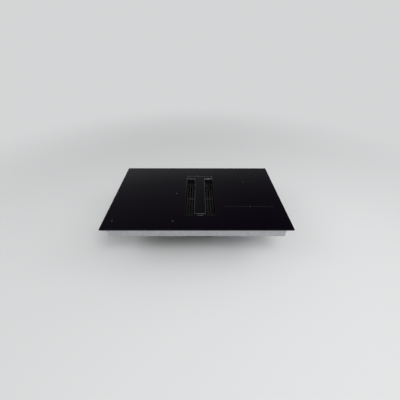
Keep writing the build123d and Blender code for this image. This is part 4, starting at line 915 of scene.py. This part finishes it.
@dataclass
class Fixings:
    """Machine screws of the housings, and the threaded studs and nuts of the clamps."""

    arm_ease: float = 0.3
    head: float = 0.0036
    head_height: float = 0.0022
    head_wall: float = 0.45  # upright share of the head's height
    dome: tuple[Pair, ...] = ((0.86, 0.0004), (0.66, 0))  # share of the head, distance from its top
    shank: float = 0.0019
    tip: Pair = (0.6, 0.001)  # share of the shank at its end, and the length of the end
    star: float = 0.0017
    star_depth: float = 0.0012
    star_waist: float = 0.68  # share of the recess's radius between its lobes
    lobes: int = 6
    pitch: float = 0.0008
    thread_depth: float = 0.6  # share of the pitch
    thread_root: float = 0.0001  # how far the ridge reaches into the core
    thread_steps: int = 12
    plain_length: float = 0.003  # of a stud, without thread
    stud_tip: Pair = (0.75, 0.0007)  # share of the core at its end, and the length of the end
    nut_bore: float = 0.00255
    nut_ease: float = 0.0005
    nut_face: float = 0.88  # share of the nut's radius that its faces keep flat
    hair: float = 0.00001  # places nearer than this are the same

    def build(self) -> None:
        """Builds screws, studs and nuts and dresses the clamp arms."""
        self.screws()
        self.studs()
        self.nuts()
        for corner in CORNERS:
            eased(f"clamp_arm_{corner}", PLATED, self.arm_ease)

    def screws(self) -> None:
        """Builds a pan-head screw with a six-lobe recess for each solid of the CAD's screws."""
        mesh = bmesh.new()
        for low, high in islands("housing_screws"):
            self.one_screw(mesh, low, high)
        make_piece("housing_screw_set", mesh, PLATED, Body.CHASSIS, ["housing_screws"])

    def one_screw(self, mesh: bmesh.types.BMesh, low: Vector, high: Vector) -> None:
        """Adds one screw.

        Args:
            mesh: Receives the screw.
            low: Lowest corner of its CAD solid.
            high: Highest corner of its CAD solid.
        """
        single = bmesh.new()
        top = high.z - low.z
        seat = top - self.head_height
        turned(single, [
            (0, 0), (self.shank * self.tip[0], 0), (self.shank, self.tip[1]), (self.shank, seat),
            (self.head, seat), (self.head, seat + self.head_height * self.head_wall),
            *((self.head * share, top - drop) for share, drop in self.dome),
            (self.star, top), (self.star, top - self.star_depth), (0, top - self.star_depth)],
            2 * self.lobes)
        for vert in single.verts:
            is_high = vert.co.z > top - 2 * self.star_depth
            if is_high and abs(vert.co.xy.length - self.star) < self.hair:
                turn = Vector((1, 0)).angle_signed(vert.co.xy)
                if cos(turn * self.lobes) < 0:
                    vert.co.xy *= self.star_waist
        if self.points_down(low, high):
            bmesh.ops.rotate(
                single, verts=single.verts[:], cent=(0, 0, top / 2), matrix=Matrix.Rotation(pi, 3, "X"))
        middle = (low + high) / 2
        bmesh.ops.translate(single, verts=single.verts[:], vec=(middle.x, middle.y, low.z))
        join_mesh(mesh, single)

    def points_down(self, low: Vector, high: Vector) -> bool:
        """Tells which way a CAD screw points.

        Args:
            low: Lowest corner of its solid.
            high: Highest corner of its solid.

        Returns:
            True if its head is below its shank.
        """
        data = frame["nodes"]["housing_screws"].data
        middle = (low + high) / 2
        between = (self.shank + self.head) / 2
        for vert in data.vertices:
            offset = vert.co.xy - middle.xy
            is_mine = max(map(abs, offset)) < self.head + self.hair and vert.co.z > low.z - self.hair
            if is_mine and offset.length > between and vert.co.z < low.z + self.head_height / 2:
                return True
        return False

    def studs(self) -> None:
        """Builds the four threaded studs: a core with a helical ridge."""
        mesh = bmesh.new()
        for low, high in islands("clamp_screws"):
            radius = (high.x - low.x) / 2
            core = radius - self.thread_depth * self.pitch
            length = high.z - low.z
            middle = (low + high) / 2
            share, rise = self.stud_tip
            stud = bmesh.new()
            turned(stud, [(0, 0), (core * share, 0), (core, rise), (core, length), (0, length)],
                   self.thread_steps)
            turns = int((length - self.plain_length) / self.pitch)
            root = core - self.thread_root
            ridge = [stud.verts.new((reach, 0, self.pitch * height))
                     for reach, height in ((root, 1), (radius, 1.5), (root, 2))]
            loop = [stud.edges.new(pair) for pair in zip(ridge, ridge[1:] + ridge[:1])]
            stud.faces.new(ridge)
            made = bmesh.ops.spin(
                stud, geom=ridge + loop, cent=(0, 0, 0), axis=(0, 0, 1), angle=2 * pi * turns,
                steps=turns * self.thread_steps, dvec=(0, 0, self.pitch / self.thread_steps),
                use_merge=False)
            last = [part for part in made["geom_last"] if isinstance(part, bmesh.types.BMEdge)]
            bmesh.ops.contextual_create(stud, geom=last)
            bmesh.ops.translate(stud, verts=stud.verts[:], vec=(middle.x, middle.y, low.z))
            join_mesh(mesh, stud)
        make_piece("clamp_stud_set", mesh, PLATED, Body.CHASSIS, ["clamp_screws"])

    def nuts(self) -> None:
        """Builds the eight hexagon nuts, with chamfered corners and an open bore."""
        mesh = bmesh.new()
        for low, high in islands("clamp_nuts"):
            middle = (low + high) / 2
            radius = (high.x - low.x) / 2
            height = high.z - low.z
            face = radius * self.nut_face
            nut = bmesh.new()
            turned(nut, [
                (self.nut_bore, 0), (face, 0), (radius, self.nut_ease),
                (radius, height - self.nut_ease), (face, height), (self.nut_bore, height)], 6)
            bmesh.ops.translate(nut, verts=nut.verts[:], vec=(middle.x, middle.y, low.z))
            join_mesh(mesh, nut)
        make_piece("clamp_nut_set", mesh, PLATED, Body.CHASSIS, ["clamp_nuts"])


def join_mesh(target: bmesh.types.BMesh, source: bmesh.types.BMesh) -> None:
    """Adds one bmesh to another and frees it.

    Args:
        target: Receives the shape.
        source: The shape to add.
    """
    bmesh.ops.recalc_face_normals(source, faces=source.faces[:])
    data = bpy.data.meshes.new("part")
    source.to_mesh(data)
    source.free()
    target.from_mesh(data)
    bpy.data.meshes.remove(data)


def islands(node: str) -> list[tuple[Vector, Vector]]:
    """The boxes of a CAD node's separate solids.

    Args:
        node: Name of the node.

    Returns:
        Lowest and highest corner of each solid, ordered by place.
    """
    mesh = bmesh.new()
    mesh.from_mesh(frame["nodes"][node].data)
    bmesh.ops.remove_doubles(mesh, verts=mesh.verts[:], dist=MERGE)
    boxes = []
    left = set(mesh.verts)
    while left:
        group = {left.pop()}
        rim = list(group)
        while rim:
            vert = rim.pop()
            found = {link.other_vert(vert) for link in vert.link_edges} - group
            group |= found
            rim.extend(found)
        left -= group
        low = Vector([min(vert.co[axis] for vert in group) for axis in range(3)])
        high = Vector([max(vert.co[axis] for vert in group) for axis in range(3)])
        boxes.append((low, high))
    mesh.free()
    return sorted(boxes, key=lambda box: tuple(round(value, 5) for value in box[0]))


# Studio --------------------------------------------------------------------------------------------

@dataclass(frozen=True)
class Softbox:
    """A square area lamp that faces the hob."""

    name: str
    place: Point
    size: float
    watts: float

    def build(self, target: Vector) -> None:
        """Hangs the lamp so that it faces a point.

        Args:
            target: The point.
        """
        data = bpy.data.lights.new(self.name, "AREA")
        data.size = self.size
        data.energy = self.watts
        lamp = bpy.data.objects.new(self.name, data)
        lamp.location = self.place
        lamp.rotation_euler = (target - Vector(self.place)).to_track_quat("-Z", "Y").to_euler()
        bpy.context.scene.collection.objects.link(lamp)


@dataclass
class Studio:
    """Pale floor, pale surroundings, soft lamps and the camera of the photograph."""

    floor_radius: float = 14.0
    floor_steps: int = 96
    floor_colour: Colour = (0.66, 0.665, 0.67)
    floor_roughness: float = 0.9
    floor_specular: float = 0.1
    fade: Pair = (0.8, 2.4)  # distance at which the floor starts and ends turning into background
    sky_light: float = 0.5
    backdrop: tuple[Pair, ...] = (  # sine of the height that is mirrored, brightness there
        (0.0, 0.66), (0.34, 0.66), (0.42, 0.45), (0.5, 0.27), (0.545, 0.155), (0.596, 0.106),
        (0.643, 0.083), (0.72, 0.05), (1.0, 0.045))
    dim_side: Pair = (0.3, 0.5)  # sine of the turn to the right, share of the brightness there
    lens_px: float = 215.2
    frame_px: float = 400.0
    sensor: float = 36.0
    centre_px: Pair = (198.5, 199.5)
    clip: Pair = (0.05, 60)
    eye: Point = (0.005, -0.890, 0.872)
    pitch: float = 38.26  # degrees below the horizon, as yaw and roll are in degrees too
    yaw: float = 0.18
    roll: float = -0.13
    lamps: tuple[Softbox, ...] = (
        Softbox("key", (0.7, -1.3, 2.4), 1.2, 34.0),
        Softbox("left", (-1.9, -0.5, 1.9), 1.2, 12.0),
        Softbox("right", (2.1, 0.1, 1.8), 1.2, 12.0))

    def build(self) -> None:
        """Builds the floor, the world, the lamps and the camera."""
        self.floor()
        self.world()
        low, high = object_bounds()
        for lamp in self.lamps:
            lamp.build((low + high) / 2)
        self.camera()
        bpy.context.scene.view_settings.view_transform = "Standard"

    def floor(self) -> None:
        """Lays the floor: it takes shadows near the hob and is plain background further out."""
        mesh = bmesh.new()
        bmesh.ops.create_circle(
            mesh, cap_ends=True, segments=self.floor_steps, radius=self.floor_radius)
        data = bpy.data.meshes.new("floor")
        mesh.to_mesh(data)
        mesh.free()
        sheet = Sheet("floor_matt")
        sheet.shader.inputs["Base Color"].default_value = (*self.floor_colour, 1)
        sheet.shader.inputs["Roughness"].default_value = self.floor_roughness
        sheet.shader.inputs["Specular IOR Level"].default_value = self.floor_specular
        glow = sheet.node("Emission")
        glow.inputs["Color"].default_value = (*self.floor_colour, 1)
        distance = sheet.node("VectorMath", operation="LENGTH")
        sheet.join(sheet.coords(), distance.inputs[0])
        fade = sheet.node("MapRange", interpolation_type="SMOOTHSTEP")
        fade.inputs["From Min"].default_value, fade.inputs["From Max"].default_value = self.fade
        sheet.join(distance.outputs["Value"], fade.inputs["Value"])
        seen = sheet.node("Math", operation="MULTIPLY")
        sheet.join(fade.outputs["Result"], seen.inputs[0])
        kinds = ("Is Camera Ray", "Is Glossy Ray", "Is Transmission Ray")
        sheet.join(self.seen(sheet.tree, kinds), seen.inputs[1])
        mix = sheet.node("MixShader")
        sheet.join(seen.outputs["Value"], mix.inputs["Fac"])
        sheet.join(sheet.shader.outputs["BSDF"], mix.inputs[1])
        sheet.join(glow.outputs["Emission"], mix.inputs[2])
        sheet.join(mix.outputs["Shader"], sheet.tree.nodes["Material Output"].inputs["Surface"])
        data.materials.append(sheet.material)
        floor = bpy.data.objects.new("floor", data)
        bpy.context.scene.collection.objects.link(floor)
        floor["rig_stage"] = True

    @staticmethod
    def seen(tree: bpy.types.NodeTree, kinds: Sequence[str]) -> Socket:
        """1 for the named kinds of ray and 0 for the others.

        Args:
            tree: Node tree that receives the nodes.
            kinds: Names of Light Path outputs.

        Returns:
            The factor socket.
        """
        path = tree.nodes.new("ShaderNodeLightPath")
        total = path.outputs[kinds[0]]
        for name in kinds[1:]:
            larger = tree.nodes.new("ShaderNodeMath")
            larger.operation = "MAXIMUM"
            tree.links.new(total, larger.inputs[0])
            tree.links.new(path.outputs[name], larger.inputs[1])
            total = larger.outputs["Value"]
        return total

    def world(self) -> None:
        """Surrounds the hob with even light, and with a pale wall that only the camera sees."""
        world = bpy.data.worlds.new("studio")
        bpy.context.scene.world = world
        world.use_nodes = True
        tree = world.node_tree
        nodes, links = tree.nodes, tree.links
        light = nodes["Background"]
        light.inputs["Color"].default_value = (1, 1, 1, 1)
        light.inputs["Strength"].default_value = self.sky_light
        wall = nodes.new("ShaderNodeBackground")
        wall.inputs["Color"].default_value = (*self.floor_colour, 1)
        first = nodes.new("ShaderNodeMixShader")
        links.new(self.seen(tree, ("Is Camera Ray", "Is Transmission Ray")), first.inputs["Fac"])
        links.new(light.outputs["Background"], first.inputs[1])
        links.new(wall.outputs["Background"], first.inputs[2])
        second = nodes.new("ShaderNodeMixShader")
        links.new(self.seen(tree, ("Is Glossy Ray",)), second.inputs["Fac"])
        links.new(first.outputs["Shader"], second.inputs[1])
        links.new(self.mirrored(nodes, links), second.inputs[2])
        links.new(second.outputs["Shader"], nodes["World Output"].inputs["Surface"])

    def mirrored(self, nodes: bpy.types.Nodes, links: bpy.types.NodeLinks) -> Socket:
        """What polished surfaces mirror: a pale wall that darkens with height and to the right.

        Args:
            nodes: Nodes of the world.
            links: Links of the world.

        Returns:
            The shader socket.
        """
        coords = nodes.new("ShaderNodeTexCoord")
        split = nodes.new("ShaderNodeSeparateXYZ")
        links.new(coords.outputs["Generated"], split.inputs["Vector"])
        ramp = nodes.new("ShaderNodeValToRGB")
        links.new(split.outputs["Z"], ramp.inputs["Fac"])
        elements = ramp.color_ramp.elements
        for place, level in self.backdrop[1:-1]:
            elements.new(place).color = (level, level, level, 1)
        for end in (0, -1):
            level = self.backdrop[end][1]
            elements[end].color = (level, level, level, 1)
        side = nodes.new("ShaderNodeMapRange")
        reach, share = self.dim_side
        for name, number in (("From Min", 0), ("From Max", reach), ("To Min", 1), ("To Max", share)):
            side.inputs[name].default_value = number
        links.new(split.outputs["X"], side.inputs["Value"])
        glow = nodes.new("ShaderNodeBackground")
        links.new(ramp.outputs["Color"], glow.inputs["Color"])
        links.new(side.outputs["Result"], glow.inputs["Strength"])
        return glow.outputs["Background"]

    def camera(self) -> None:
        """Sets the camera where the photograph was taken from."""
        data = bpy.data.cameras.new("camera")
        data.sensor_width = self.sensor
        data.lens = self.sensor * self.lens_px / self.frame_px
        middle = self.frame_px / 2
        data.shift_x = (middle - self.centre_px[0]) / self.frame_px
        data.shift_y = -(middle - self.centre_px[1]) / self.frame_px
        data.clip_start, data.clip_end = self.clip
        camera = bpy.data.objects.new("camera", data)
        turn = (Matrix.Rotation(radians(-self.yaw), 4, "Z")
                @ Matrix.Rotation(radians(90 - self.pitch), 4, "X")
                @ Matrix.Rotation(radians(-self.roll), 4, "Z"))
        camera.matrix_world = Matrix.Translation(self.eye) @ turn
        bpy.context.scene.collection.objects.link(camera)
        bpy.context.scene.camera = camera


def main() -> None:
    """Builds the studio and the sub-assemblies in order."""
    logging.basicConfig(level=logging.INFO, format="%(name)s: %(message)s")
    Studio().build()
    for assembly in (GlassTop, Vent, GreaseTrap, HeatingDeck, Extractor, ServiceBoxes, Fixings):
        log.info("building %s", assembly.__name__)
        assembly().build()


if __name__ == "__main__":
    main()
